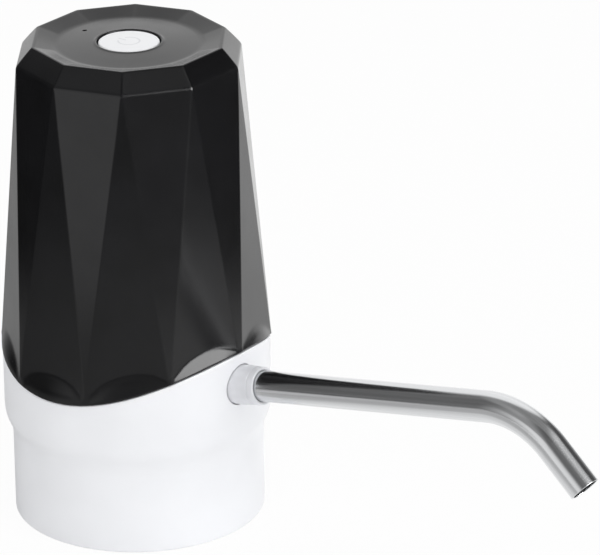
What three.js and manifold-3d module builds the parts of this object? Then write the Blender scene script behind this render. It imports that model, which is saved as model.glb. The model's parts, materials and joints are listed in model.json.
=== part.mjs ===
// Bottled water pump: a casing that stands on a bottle's neck, with a gear pump, a battery and a steel spout.
// Millimetres, +Z up, the spout towards +X. The origin is on the body's axis in the plane of the skirt's rim.
import * as THREE from "three";
import { ConvexGeometry } from "three/addons/geometries/ConvexGeometry.js";
import { mergeVertices } from "three/addons/utils/BufferGeometryUtils.js";
import Module from "manifold-3d";

const wasm = await Module();
wasm.setup();

// Clearances shared by every piece, the overrun of cuts and how far joined shapes reach into each other
const clearance = 0.3;
const looseClearance = 0.6;
const overrun = 2;
const embed = 1;
const degree = Math.PI / 180;
const fullTurn = 360 * degree;

// Round sections: how many sides the large, middle and small ones have
const wideSides = 40;
const midSides = 24;
const smallSides = 12;
const tinySides = 8;
const gripSides = 30;

// The bottle's neck, and the skirt, shoulder and belt that follow it outwards
const neckDiameter = 55;
const skirtNeckGap = 3;
const skirtWall = 2;
const shoulderStep = 2;
const bandOverhang = 0.5;

// Facets of the upper housing
const facetCount = 10;
const facetStep = fullTurn / facetCount;
const halfFacet = facetStep / 2;
const facetCosine = Math.cos(halfFacet);
const rimVertexRadius = 25.1;
const chamferDrop = 4.8;
const chamferVertexRadius = 29.35;
const upperWall = 2;

// The seam between the two housings is high at the spout and at the back, and low at the sides
const seamCollarGap = 2.775;
const seamSwing = 5.06;
const bandRound = 10.6;
const bandHeight = 7.5;
const seamGap = 0.3;

// Dish in the top, with a moat round the button's lip
const rimLand = 0.6;
const dishRadius = 19.2;
const dishDepth = 1.5;
const moatWallWidth = 0.8;
const moatWallDepth = 2.5;
const moatWidth = 1.4;
const moatDepth = 3;
const domeSlopeWidth = 4;
const domeDepth = 1.7;
const lipWidth = 1.05;
const lipDepth = 1.05;
const topInsideDepth = 5;
const innerChamfer = 0.8;

// Power button, its switch and the light beside it
const buttonRadius = 7.8;
const buttonTopDepth = 1;
const buttonGap = 0.35;
const buttonRound = 0.5;
const buttonFlangeWidth = 1.6;
const buttonFlangeThickness = 1;
const buttonTravel = 0.6;
const boardThickness = 1.2;
const boardMargin = 0.4;
const switchSize = 6;
const switchHeight = 3;
const plungerRadius = 1.7;
const plungerRise = 1.2;
const plungerSocketGap = 0.2;
const pinholeRadius = 0.6;
const pinholeDistance = 14.6;
const ledRadius = 1.5;
const ledBodyHeight = 2.4;
const boardScrewDistance = 13.2;
const boardBossRadius = 2.5;

// Lower housing: the skirt, the belt above it and the deck that carries the pump
const shoulderLowHeight = 23.4;
const shoulderRise = 4;
const beltWall = 2;
const deckUnderside = 28;
const deckThickness = 2.2;
const tongueGap = 0.9;
const tongueWall = 1.4;
const tongueRise = 3;
const tongueDrop = 3;
const deckBossRadius = 2.7;
const deckBossDrop = 4.5;

// Spout line: it leaves the body's axis at this height and rises outwards
const spoutTilt = 10.73 * degree;
const outletInset = 2.45;
const spoutRadius = 4;
const spoutWall = 0.5;
const spoutStraightEnd = 113.6;
const spoutBendRadius = 23.5;
const spoutBendAngle = 52.3 * degree;
const spoutEndLength = 12.9;
const spoutSteps = 26;
const spoutSides = 12;

// Collar that carries the spout
const collarRadius = 5.2;
const collarFrontRadius = 4.85;
const collarLipLength = 1;
const collarTaperLength = 1.4;
const collarProtrusion = 7.2;
const collarFlangeRadius = 6.5;
const collarFlangeThickness = 3.4;
const collarBoreClearance = 0.2;
const collarShoulderLength = 1;
const collarSeatInset = 3.5;
const collarBarbLength = 4.6;
const collarCrestShare = 0.4;
const collarBackShare = 0.45;
const spoutPadRadius = 7.4;
const barbRadius = 2.9;
const barbBore = 1.75;
const barbRidge = 0.3;
const barbCrestShare = 0.75;
const barbBackShare = 0.8;
const oRingSection = 0.7;
const grooveInset = 0.9;
const tubeEndGap = 0.5;

// Outlet coupling hose and its clips
const couplingWall = 1.4;
const couplingGap = 1.9;
const outletBarbReach = 4.6;
const clipWidth = 3;
const clipWall = 0.7;
const clipInset = 2.2;

// Gear pump: two gears side by side along Y, ahead of the inlet in the middle of the deck
const gearTeeth = 12;
const pitchRadius = 6;
const gearThickness = 5.6;
const pressureAngle = 20 * degree;
const gearBacklash = 0.36;
const addendumShare = 0.8;
const dedendumShare = 1.4;
const gearLineDistance = 5;
const chamberDepth = 6.2;
const portHalfWidth = 3.5;
const chamberWall = 2.4;
const coverThickness = 2.2;
const gasketThickness = 0.5;
const pumpBodyHeight = 10.8;
const earThickness = 3;
const earRadius = 3.2;
const earInset = 2.1;
const earHalfSpan = 10;
const inletBarbLength = 15.7;
const inletBarbRadius = 3.2;
const inletBore = 2;
const inletRidge = 0.6;
const inletSealRadius = 5.6;
const inletSealSection = 0.6;
const inletGrooveDepth = 1.7;

// Motor and shafts
const motorRadius = 12.2;
const motorLength = 28.8;
const motorPilotRadius = 3.2;
const motorPilotHeight = 1.4;
const shaftRadius = 1;
const shaftReach = 18;
const endCapThickness = 2;
const endCapRadius = 11.6;
const rearBossRadius = 3;
const rearBossHeight = 1.6;
const terminalHeight = 2.8;
const terminalWidth = 2;
const terminalThickness = 0.6;
const terminalDistance = 5.5;
const sealThickness = 1.6;
const sealRadius = 2.9;
const motorScrewDistance = 5.3;
const motorScrewHeadRadius = 1.4;
const motorScrewHeadHeight = 0.9;
const motorScrewRadius = 0.8;
const motorScrewReach = 3;

// Battery and the holder that stands behind the pump
const batteryRadius = 9.1;
const batteryLength = 64;
const nubRadius = 2.8;
const nubHeight = 1;
const batteryGap = 0.7;
const batteryHeadroom = 3.8;
const batteryDirection = 140.5 * degree;
const holderWall = 1.6;
const holderFloorThickness = 2;
const holderTopGap = 0.5;
const holderTopThickness = 1.5;
const holderTopHoleRadius = 6;
const holderOpenHalf = 70 * degree;
const holderLegStart = 110 * degree;
const holderLegEnd = 255 * degree;
const footRight = -0.5;
const footLeft = -9;
const footHalfWidth = 8;
const footThickness = 2;
const holderScrewOffset = 2.5;
const holderScrewSpread = 5;

// Main board at the back, with the charging socket in the belt
const mainBoardInset = 7.2;
const mainBoardWidth = 20;
const mainBoardHeight = 27;
const mainBoardThickness = 1.2;
const chipSize = 5;
const chipThickness = 1.2;
const coilSize = 4;
const coilThickness = 1.6;
const guideWidth = 2.2;
const guideDepth = 4.2;
const guideHeight = 13;
const socketHeightAbove = 8.8;
const socketWidth = 7.6;
const socketTall = 2.8;
const socketShell = 0.35;
const socketBackWall = 1;
const socketTongue = 0.7;
const socketTongueGap = 0.7;
const usbRecess = 0.7;
const usbRecessMargin = 1.2;
const usbOpeningMargin = 0.5;

// Screws: radius of the shank, and radius and height of the head
const caseScrewRadius = 1.4;
const caseHeadRadius = 2.5;
const caseHeadHeight = 2;
const caseScrewReach = 11;
const smallScrewRadius = 1;
const smallHeadRadius = 2;
const smallHeadHeight = 1.4;
const pilotHoleMargin = 1.2;
const screwTipGap = 1;
const slotLengthShare = 0.6;
const slotWidthShare = 0.12;

// Posts of the upper housing that the case screws run up into
const postAngles = [60 * degree, 300 * degree, 215 * degree];
const postRadius = 2.9;
const postGap = 0.7;
const postRise = 24.8;
const postWebWidth = 2;
const postWebGap = 2;
const pedestalRadius = 3.6;
const pedestalHeight = 2.6;

// Soft ring in the skirt
const gripPlay = 0.1;
const gripBottom = 3;
const gripHeight = 20;
const gripWall = 1.2;
const gripLips = 2;
const gripLipHalfHeight = 2.5;

// Leads: radius and the points that they run through, chosen by hand
const leadRadius = 0.9;
const switchCablePoints = [
  [-12, -8, 116.3], [-12.6, -8.4, 114], [-17, -9, 105], [-21, -8, 80], [-25.7, -5, 62], [-25.9, -5, 58],
];
const motorLeadPoints = [
  [5, -7.6, 79], [2, -9.5, 81], [-4, -11.5, 80.5], [-12, -12, 75], [-20.5, -10, 66], [-25.7, -8, 61],
  [-25.9, -7.9, 58],
];
const batteryLeadPoints = [
  [-12, 8, 111.9], [-12.5, 7.6, 113.9], [-15.5, 4.6, 115], [-20, 0.5, 115], [-23.2, -2.5, 109], [-24, -2.5, 85],
  [-25.7, -1.6, 64], [-25.9, -1.5, 58],
];
const leadSteps = 16;
const leadSides = 6;

// Radii that follow from the bottle's neck, from the inside outwards
const neckRadius = neckDiameter / 2;
const gripInnerRadius = neckRadius + gripPlay;
const skirtInnerRadius = neckRadius + skirtNeckGap;
const skirtRadius = skirtInnerRadius + skirtWall;
const beltRadius = skirtRadius + shoulderStep;
const beltInner = beltRadius - beltWall;
const bandRadius = beltRadius + bandOverhang;
const facetMiddle = bandRadius * facetCosine;
const tongueOuterRadius = facetMiddle - upperWall - tongueGap;
const tongueInner = tongueOuterRadius - tongueWall;
const postDistance = tongueInner - postRadius - postGap;

// Radii of the dish and the button, from the outside inwards
const moatWallRadius = dishRadius - moatWallWidth;
const moatRadius = moatWallRadius - moatWidth;
const domeRadius = moatRadius - domeSlopeWidth;
const lipRadius = buttonRadius + buttonGap + lipWidth;
const buttonFlangeRadius = buttonRadius + buttonFlangeWidth;
const plungerSocketRadius = plungerRadius + plungerSocketGap;
const switchBoardRadius = pinholeDistance + ledRadius + boardMargin;

// Heights from the deck up through the pump and the battery to the top of the housing
const deckTop = deckUnderside + deckThickness;
const coverTop = deckTop + coverThickness;
const chamberBottom = coverTop + gasketThickness;
const chamberTop = chamberBottom + chamberDepth;
const spoutOriginHeight = chamberBottom + outletInset;
const motorFace = chamberBottom + pumpBodyHeight;
const motorTop = motorFace + motorLength;
const gearBottom = chamberBottom + (chamberDepth - gearThickness) / 2;
const holderFloorHeight = motorFace + clearance;
const batteryBottom = holderFloorHeight + holderFloorThickness;
const holderTop = batteryBottom + batteryLength + nubHeight + holderTopGap;
const boardDrop = switchHeight + clearance + buttonTravel + buttonFlangeThickness + clearance;
const boardTop = holderTop + holderTopThickness + batteryHeadroom + boardThickness;
const topInside = boardTop + boardDrop;
const totalHeight = topInside + topInsideDepth;

// Heights and distances that follow from the sizes above
const spoutHeightAtBelt = spoutOriginHeight + beltRadius * Math.tan(spoutTilt);
const collarTop = spoutHeightAtBelt + (collarRadius + clearance) / Math.cos(spoutTilt);
const seamMeanHeight = collarTop + seamCollarGap - seamSwing;
const postTop = seamMeanHeight + postRise;
const chamferHeight = totalHeight - chamferDrop;
const shoulderHighHeight = shoulderLowHeight + shoulderRise;
const boardUnderside = boardTop - boardThickness;
const buttonTop = totalHeight - buttonTopDepth;
const flangeTop = topInside - clearance;
const plungerTop = boardTop + switchHeight + plungerRise;
const gearModule = 2 * pitchRadius / gearTeeth;
const tipRadius = pitchRadius + gearModule * addendumShare;
const rootRadius = pitchRadius - gearModule * dedendumShare;
const chamberRadius = tipRadius + clearance;
const bodyRadius = chamberRadius + chamberWall;
const tubeBore = spoutRadius + collarBoreClearance;
const collarSeatDistance = beltRadius - collarSeatInset;
const collarFront = beltRadius / Math.cos(spoutTilt) + collarProtrusion;
const flangeFront = collarSeatDistance - clearance;
const flangeBack = flangeFront - collarFlangeThickness;
const collarShoulder = flangeBack - collarShoulderLength;
const couplingStart = gearLineDistance + bodyRadius + couplingGap;
const couplingEnd = collarShoulder - clearance;
const couplingBore = barbRadius + barbRidge + clearance;
const couplingRadius = couplingBore + couplingWall;
const grooveStart = flangeBack + grooveInset;
const grooveEnd = grooveStart + 2 * oRingSection + clearance;
const motorToBattery = motorRadius + batteryRadius + batteryGap;
const batteryX = gearLineDistance + motorToBattery * Math.cos(batteryDirection);
const batteryY = motorToBattery * Math.sin(batteryDirection) - pitchRadius;
const holderOpenStart = batteryDirection - Math.PI + holderOpenHalf;
const holderOpenEnd = batteryDirection + Math.PI - holderOpenHalf;
const holderBore = batteryRadius + clearance;
const holderRadius = holderBore + holderWall;
const boardBottom = deckTop + clearance;
const mainBoardX = mainBoardInset - beltInner;
const blindFloor = deckUnderside - deckBossDrop + pilotHoleMargin;
const caseScrewSeat = deckUnderside + clearance + caseHeadHeight;
const sealBottom = motorFace - motorPilotHeight - clearance - sealThickness;
const motorScrewSeat = chamberTop + motorScrewHeadHeight + clearance;
const shaftTop = motorFace + shaftReach - clearance;
const pinTop = motorFace - motorPilotHeight - clearance;
const socketCentre = deckTop + socketHeightAbove;
const ears = [[-1, -1], [1, -1], [1, 1], [-1, 1]].map(([x, y]) => [
  gearLineDistance + x * (bodyRadius + earInset),
  y * earHalfSpan,
]);
const holderScrews = [-1, 1].map((y) => [batteryX - holderScrewOffset, batteryY + y * holderScrewSpread]);

// Materials
const finish = (color, roughness, metalness) => new THREE.MeshStandardMaterial({ color, roughness, metalness });
const blackGloss = finish(0x17181a, 0.12, 0);
const whiteGloss = finish(0xf2f3f5, 0.25, 0);
const collarWhite = finish(0xe6e7ea, 0.4, 0);
const polishedSteel = finish(0xc9cbcc, 0.12, 1);
const platedSteel = finish(0xb4b6b8, 0.3, 1);
const greenBoard = finish(0x1d5a34, 0.5, 0);
const darkPlastic = finish(0x202124, 0.5, 0);
const gearPlastic = finish(0xe9e4d2, 0.45, 0);
const sleeveBlue = finish(0x2c6fb0, 0.4, 0);
const siliconeClear = finish(0xdadfe0, 0.5, 0);
const siliconeGrey = finish(0x8d9194, 0.6, 0);
const leadRed = finish(0xa82a24, 0.5, 0);
const ledClear = finish(0xd6e4f2, 0.1, 0);

const root = new THREE.Group();
const spoutLine = new THREE.Group();
spoutLine.position.set(0, 0, spoutOriginHeight);
spoutLine.rotation.y = -spoutTilt;
root.add(spoutLine);

// A closed geometry as a solid that can be cut and joined
function solid(geometry) {
  const bare = new THREE.BufferGeometry();
  const loose = geometry.index ? geometry.toNonIndexed() : geometry;
  bare.setAttribute("position", loose.getAttribute("position"));
  const merged = mergeVertices(bare, 1e-4);
  const corners = [];
  const index = merged.index.array;
  for (let i = 0; i < index.length; i += 3) {
    const [a, b, c] = index.slice(i, i + 3);
    if (a !== b && b !== c && c !== a) corners.push(a, b, c);
  }
  const vertProperties = merged.getAttribute("position").array;
  return new wasm.Manifold(new wasm.Mesh({ numProp: 3, vertProperties, triVerts: new Uint32Array(corners) }));
}

function geometryOf(body) {
  const mesh = body.getMesh();
  const geometry = new THREE.BufferGeometry();
  geometry.setAttribute("position", new THREE.BufferAttribute(new Float32Array(mesh.vertProperties), 3));
  geometry.setIndex(new THREE.BufferAttribute(new Uint32Array(mesh.triVerts), 1));
  const flat = geometry.toNonIndexed();
  flat.computeVertexNormals();
  return flat;
}

function addPiece(name, body, material, parent = root) {
  const mesh = new THREE.Mesh(geometryOf(body), material);
  mesh.name = name;
  parent.add(mesh);
}

// A round solid about the Z axis, from a closed outline of [radius, height] that climbs on its outer side
function turned(outline, sides, lift = () => 0, reach = () => 1) {
  const closed = [...outline, outline[0]];
  const points = closed.map(([radius, height]) => new THREE.Vector2(radius, height));
  const geometry = new THREE.LatheGeometry(points, sides);
  geometry.rotateX(Math.PI / 2);
  const position = geometry.getAttribute("position");
  for (let i = 0; i < position.count; i += 1) {
    const place = i % closed.length;
    const angle = fullTurn * Math.floor(i / closed.length) / sides;
    const radius = closed[place][0] * reach(place % outline.length, angle);
    const height = closed[place][1] + lift(place % outline.length, angle);
    position.setXYZ(i, radius * Math.cos(angle), radius * Math.sin(angle), height);
  }
  return solid(geometry);
}

const disc = (radius, bottom, top, sides = smallSides) =>
  turned([[0, bottom], [radius, bottom], [radius, top], [0, top]], sides);

const ring = (outer, inner, bottom, top, sides = midSides) =>
  turned([[inner, bottom], [outer, bottom], [outer, top], [inner, top]], sides);

function box(left, right, front, back, bottom, top) {
  const geometry = new THREE.BoxGeometry(right - left, back - front, top - bottom);
  geometry.translate((left + right) / 2, (front + back) / 2, (bottom + top) / 2);
  return solid(geometry);
}

function prism(shape, bottom, top, segments = smallSides) {
  const depth = top - bottom;
  const geometry = new THREE.ExtrudeGeometry(shape, { depth, bevelEnabled: false, curveSegments: segments });
  geometry.translate(0, 0, bottom);
  return solid(geometry);
}

// Turns a solid built about Z so that it lies along the spout line, and places one at a point of the deck
const alongSpout = (body) => body.rotate([0, 90, 0]);
const at = (body, x, y) => body.translate([x, y, 0]);
const spoutToBody = (body) => body.rotate([0, -spoutTilt / degree, 0]).translate([0, 0, spoutOriginHeight]);
const joined = (bodies) => bodies.reduce((sum, body) => sum.add(body));
const cut = (body, tools) => tools.reduce((rest, tool) => rest.subtract(tool), body);

const seamHeight = (angle) => seamMeanHeight + seamSwing * Math.cos(2 * angle);

// Ten-sided solid whose upper and lower corners are half a facet apart
function facetedSolid(levels) {
  const points = [];
  for (const [radius, height, turn] of levels)
    for (let k = 0; k < facetCount; k += 1) {
      const angle = k * facetStep + turn;
      points.push(new THREE.Vector3(radius * Math.cos(angle), radius * Math.sin(angle), height));
    }
  return solid(new ConvexGeometry(points));
}

// Radius that the upright facets' middles reach at a height, and the corner radius that goes with it
function lowerCorner(height) {
  const growth = (facetMiddle - chamferVertexRadius) / (chamferHeight - seamMeanHeight);
  return (facetMiddle + growth * (seamMeanHeight - height)) / facetCosine;
}

function upperOutside() {
  const floor = seamMeanHeight - seamSwing - overrun;
  const facets = facetedSolid([
    [rimVertexRadius, totalHeight, halfFacet],
    [chamferVertexRadius, chamferHeight, halfFacet],
    [bandRadius, seamMeanHeight, 0],
    [lowerCorner(floor), floor, 0],
  ]);
  const steps = 4;
  const outline = [[0, -overrun], [bandRadius, -overrun]];
  for (let k = 0; k <= steps; k += 1) {
    const rise = bandHeight * k / steps;
    outline.push([bandRadius - rise * rise / (2 * bandRound), rise]);
  }
  outline.push([0, bandHeight]);
  const band = turned(outline, wideSides, (place, angle) => seamHeight(angle));
  return facets.add(band).intersect(disc(bandRadius, 0, totalHeight + overrun, wideSides));
}

function upperInside() {
  const spread = upperWall / facetCosine;
  const floor = seamMeanHeight - seamSwing - 2 * overrun;
  const shoulder = chamferVertexRadius - spread;
  return facetedSolid([
    [shoulder - innerChamfer, topInside, halfFacet],
    [shoulder, topInside - innerChamfer, halfFacet],
    [bandRadius - spread, seamMeanHeight, 0],
    [lowerCorner(floor) - spread, floor, 0],
  ]);
}

// What is above the dish's surface; its outer two rings follow the ten-sided rim
function aboveDish() {
  const rimRadius = rimVertexRadius - rimLand;
  const outline = [
    [0, totalHeight - lipDepth],
    [lipRadius, totalHeight - lipDepth],
    [domeRadius, totalHeight - domeDepth],
    [moatRadius, totalHeight - moatDepth],
    [moatWallRadius, totalHeight - moatWallDepth],
    [dishRadius, totalHeight - dishDepth],
    [rimRadius, totalHeight],
    [rimRadius, totalHeight + overrun],
    [0, totalHeight + overrun],
  ];
  const firstRimPlace = 6;
  const lastRimPlace = 7;
  const reach = (place, angle) => {
    if (place < firstRimPlace || place > lastRimPlace) return 1;
    const fromMiddle = ((angle + halfFacet) % facetStep) - halfFacet;
    return facetCosine / Math.cos(fromMiddle);
  };
  return turned(outline, wideSides, () => 0, reach);
}

function housingPost(angle) {
  const bottom = deckTop + pedestalHeight + clearance;
  const webBottom = seamMeanHeight + seamSwing + tongueRise + postWebGap;
  const post = at(disc(postRadius, bottom, postTop), postDistance, 0);
  const web = box(postDistance, bandRadius, -postWebWidth / 2, postWebWidth / 2, webBottom, postTop);
  const bore = at(disc(caseScrewRadius + clearance, 0, bottom + caseScrewReach), postDistance, 0);
  const turn = [0, 0, angle / degree];
  return { post: post.add(web).rotate(turn), bore: bore.rotate(turn) };
}

function upperHousing() {
  const outside = upperOutside();
  const hollow = upperInside();
  const belowSeam = turned(
    [[0, 0], [bandRadius + overrun, 0], [bandRadius + overrun, seamGap], [0, seamGap]],
    wideSides,
    (place, angle) => (place > 1 ? seamHeight(angle) : 0),
  );
  const posts = postAngles.map(housingPost);
  const bosses = [-1, 1].map((side) =>
    at(disc(boardBossRadius, boardTop, topInside + embed), 0, side * boardScrewDistance));
  const bossBores = [-1, 1].map((side) =>
    at(disc(smallScrewRadius + clearance, 0, topInside), 0, side * boardScrewDistance));
  const inner = joined([...posts.map(({ post }) => post), ...bosses]).intersect(outside.subtract(aboveDish()));
  const shell = cut(outside, [hollow, belowSeam, aboveDish()]);
  const insideTongue = disc(tongueInner, 0, totalHeight, wideSides);
  const lowPosts = joined(posts.map(({ post }) => post)).intersect(insideTongue);
  const well = disc(buttonRadius + buttonGap, topInside - overrun, totalHeight, midSides);
  const pinhole = at(disc(pinholeRadius, topInside - overrun, totalHeight, tinySides), -pinholeDistance, 0);
  return cut(joined([shell, inner, lowPosts]), [well, pinhole, ...posts.map(({ bore }) => bore), ...bossBores]);
}

function powerButton() {
  const flangeBottom = flangeTop - buttonFlangeThickness;
  return turned([
    [0, plungerTop],
    [plungerSocketRadius, plungerTop],
    [plungerSocketRadius, flangeBottom],
    [buttonFlangeRadius, flangeBottom],
    [buttonFlangeRadius, flangeTop],
    [buttonRadius, flangeTop],
    [buttonRadius, buttonTop - buttonRound],
    [buttonRadius - buttonRound, buttonTop],
    [0, buttonTop],
  ], midSides);
}

function tactSwitch() {
  const half = switchSize / 2;
  const body = box(-half, half, -half, half, boardTop, boardTop + switchHeight);
  const wellFloor = boardTop + switchHeight / 2 - buttonTravel - clearance;
  return body.subtract(disc(plungerRadius + clearance, wellFloor, totalHeight));
}

function switchBoard() {
  const board = disc(switchBoardRadius, boardUnderside, boardTop, midSides);
  const holes = [-1, 1].map((side) =>
    at(disc(smallScrewRadius + clearance, 0, totalHeight), 0, side * boardScrewDistance));
  return cut(board, holes);
}

function indicatorLed() {
  const shoulder = boardTop + ledBodyHeight;
  const half = ledRadius * Math.SQRT1_2;
  const led = turned([
    [0, boardTop],
    [ledRadius, boardTop],
    [ledRadius, shoulder],
    [half, shoulder + half],
    [0, shoulder + ledRadius],
  ], tinySides);
  return at(led, -pinholeDistance, 0);
}

// A screw with its seat at height zero, its head below it and its shank above
function screw(headRadius, headHeight, shankRadius, reach) {
  const head = disc(headRadius, -headHeight, 0);
  const shank = disc(shankRadius, -headHeight / 2, reach, tinySides);
  const slotLong = headRadius * slotLengthShare;
  const slotHalf = headRadius * slotWidthShare;
  const slot = box(-slotLong, slotLong, -slotHalf, slotHalf, -headHeight - overrun, -headHeight / 2);
  return head.add(shank).subtract(slot);
}

const smallScrew = (reach) => screw(smallHeadRadius, smallHeadHeight, smallScrewRadius, reach);
const headUp = (body) => body.rotate([180, 0, 0]);
const seatedAt = (body, x, y, z) => body.translate([x, y, z]);

function lowerProfile() {
  const followsSeam = new Set();
  const outline = [];
  const point = (radius, height, follows = false) => {
    if (follows) followsSeam.add(outline.length);
    outline.push([radius, height]);
  };
  point(skirtInnerRadius, 0);
  point(skirtRadius, 0);
  point(skirtRadius, shoulderLowHeight);
  point(beltRadius, shoulderHighHeight);
  point(beltRadius, 0, true);
  point(tongueOuterRadius, 0, true);
  point(tongueOuterRadius, tongueRise, true);
  point(tongueInner, tongueRise, true);
  point(tongueInner, -tongueDrop, true);
  point(beltInner, -tongueDrop - (beltInner - tongueInner), true);
  point(beltInner, deckTop);
  point(0, deckTop);
  point(0, deckUnderside);
  point(skirtInnerRadius, deckUnderside);
  return turned(outline, wideSides, (place, angle) => (followsSeam.has(place) ? seamHeight(angle) : 0));
}

function spoutPad() {
  const reach = beltRadius + overrun;
  const pad = spoutToBody(alongSpout(disc(spoutPadRadius, collarSeatDistance, reach, midSides)));
  return pad.intersect(disc(beltRadius - beltWall / 2, deckTop, totalHeight, wideSides));
}

function usbOpening(margin, left, right) {
  const halfWidth = socketWidth / 2 + margin;
  const halfTall = socketTall / 2 + margin;
  return box(left, right, -halfWidth, halfWidth, socketCentre - halfTall, socketCentre + halfTall);
}

function boardGuides() {
  const slotHalf = mainBoardWidth / 2 + clearance;
  const middle = mainBoardX - mainBoardThickness / 2;
  const slotBack = mainBoardX - mainBoardThickness - clearance;
  const slot = box(slotBack, mainBoardX + clearance, -slotHalf, slotHalf, deckTop, totalHeight);
  return [-1, 1].map((side) => {
    const near = side * (slotHalf - guideWidth / 2);
    const far = side * (slotHalf + guideWidth / 2);
    const left = middle - guideDepth / 2;
    const bottom = deckTop - deckThickness / 2;
    return box(left, left + guideDepth, Math.min(near, far), Math.max(near, far), bottom, deckTop + guideHeight)
      .subtract(slot);
  });
}

function lowerHousing() {
  const deckMiddle = deckTop - deckThickness / 2;
  const blindBoss = ([x, y]) => at(disc(deckBossRadius, deckUnderside - deckBossDrop, deckMiddle), x, y);
  const blindHole = ([x, y]) => at(disc(smallScrewRadius + clearance, blindFloor, totalHeight), x, y);
  const screwPlaces = [...ears, ...holderScrews];
  const atPost = (body, angle) => at(body, postDistance, 0).rotate([0, 0, angle / degree]);
  const pedestals = postAngles.map((angle) =>
    atPost(disc(pedestalRadius, deckMiddle, deckTop + pedestalHeight), angle));
  const added = [...boardGuides(), ...pedestals, ...screwPlaces.map(blindBoss)];
  const shell = joined([lowerProfile(), spoutPad(), ...added]);
  const caseHoles = postAngles.flatMap((angle) => [
    atPost(disc(caseHeadRadius + clearance, 0, caseScrewSeat), angle),
    atPost(disc(caseScrewRadius + clearance, 0, totalHeight), angle),
  ]);
  const inletHole = disc(inletBarbRadius + inletRidge + clearance, 0, totalHeight, midSides);
  const grooveHalf = inletSealSection + clearance;
  const inletGroove = ring(
    inletSealRadius + grooveHalf, inletSealRadius - grooveHalf, deckTop - inletGrooveDepth, deckTop + overrun);
  const collarHole = spoutToBody(alongSpout(
    disc(collarRadius + clearance, collarSeatDistance - overrun, beltRadius + 2 * overrun, midSides)));
  const flangeRoom = spoutToBody(alongSpout(
    disc(collarFlangeRadius + looseClearance, collarShoulder - overrun, collarSeatDistance, midSides)))
    .intersect(box(0, beltRadius, -beltRadius, beltRadius, deckTop, totalHeight));
  const opening = usbOpening(usbOpeningMargin, -beltRadius - overrun, -beltInner + overrun);
  const recess = usbOpening(usbRecessMargin, -beltRadius - overrun, -beltRadius + usbRecess);
  const holes = [inletHole, inletGroove, collarHole, flangeRoom, opening, recess];
  return cut(shell, [...screwPlaces.map(blindHole), ...caseHoles, ...holes]);
}

function gearOutline(turn) {
  const baseRadius = pitchRadius * Math.cos(pressureAngle);
  const involute = (radius) => {
    const angle = Math.acos(Math.min(1, baseRadius / radius));
    return Math.tan(angle) - angle;
  };
  const toothWidth = Math.PI * gearModule / 2 - gearBacklash;
  const halfAngle = (radius) =>
    toothWidth / (2 * pitchRadius) + involute(pitchRadius) - involute(Math.max(radius, baseRadius));
  const radii = [rootRadius, baseRadius, pitchRadius, (pitchRadius + tipRadius) / 2, tipRadius];
  const shape = new THREE.Shape();
  for (let tooth = 0; tooth < gearTeeth; tooth += 1) {
    const middle = turn + fullTurn * tooth / gearTeeth;
    const climb = radii.map((radius) => [radius, middle - halfAngle(radius)]);
    const fall = radii.map((radius) => [radius, middle + halfAngle(radius)]).reverse();
    for (const [radius, angle] of [...climb, ...fall]) {
      const x = radius * Math.cos(angle);
      const y = radius * Math.sin(angle);
      if (tooth === 0 && radius === rootRadius && angle < middle) shape.moveTo(x, y);
      else shape.lineTo(x, y);
    }
  }
  shape.closePath();
  return shape;
}

function gear(side, turn) {
  const body = prism(gearOutline(turn), gearBottom, gearBottom + gearThickness);
  const bore = disc(shaftRadius + clearance, 0, totalHeight);
  return at(body.subtract(bore), gearLineDistance, side * pitchRadius);
}

// Outline round the two gears: two half circles and the straight sides between them
function pumpOutline(radius) {
  const shape = new THREE.Shape();
  shape.moveTo(gearLineDistance + radius, -pitchRadius);
  shape.lineTo(gearLineDistance + radius, pitchRadius);
  shape.absarc(gearLineDistance, pitchRadius, radius, 0, Math.PI, false);
  shape.lineTo(gearLineDistance - radius, -pitchRadius);
  shape.absarc(gearLineDistance, -pitchRadius, radius, Math.PI, fullTurn, false);
  return shape;
}

function earPlate(bottom, top) {
  const [left] = ears[0];
  const [right] = ears[1];
  const bars = [-1, 1].map((side) => {
    const middle = side * earHalfSpan;
    return box(left, right, middle - earRadius, middle + earRadius, bottom, top);
  });
  const discs = ears.map(([x, y]) => at(disc(earRadius, bottom, top), x, y));
  return joined([...bars, ...discs]);
}

const earHoles = () =>
  ears.map(([x, y]) => at(disc(smallScrewRadius + clearance, 0, totalHeight, tinySides), x, y));

function barb(radius, ridge, bore, length, ridges) {
  const outline = [[bore, 0]];
  const pitch = length / (ridges + 1);
  for (let k = 0; k < ridges; k += 1) {
    const start = k * pitch;
    const crest = start + pitch * barbCrestShare;
    outline.push([radius, start], [radius + ridge, crest], [radius, start + pitch * barbBackShare]);
  }
  outline.push([radius, length], [bore, length]);
  return turned(outline, smallSides);
}

function pumpCover() {
  const plate = prism(pumpOutline(bodyRadius), deckTop, coverTop).add(earPlate(deckTop, coverTop));
  const ridges = 3;
  const nozzle = barb(inletBarbRadius, inletRidge, inletBore, inletBarbLength + embed, ridges)
    .translate([0, 0, deckTop - inletBarbLength]);
  return cut(plate.add(nozzle), [disc(inletBore, 0, totalHeight), ...earHoles()]);
}

function chamberRoom(bottom, top) {
  const bores = [-1, 1].map((side) =>
    at(disc(chamberRadius, bottom, top, midSides), gearLineDistance, side * pitchRadius));
  const ports = box(-inletBore, 2 * gearLineDistance + inletBore, -portHalfWidth, portHalfWidth, bottom, top);
  return joined([...bores, ports]);
}

function pumpGasket() {
  const sheet = prism(pumpOutline(bodyRadius - clearance), coverTop, chamberBottom);
  return sheet.subtract(chamberRoom(coverTop - overrun, chamberBottom + overrun));
}

function outletBarb() {
  const start = gearLineDistance + bodyRadius - embed;
  const end = couplingStart + outletBarbReach;
  const ridges = 2;
  const nozzle = headUp(barb(barbRadius, barbRidge, 0, end - start, ridges)).translate([0, 0, end]);
  return spoutToBody(alongSpout(nozzle));
}

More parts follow.
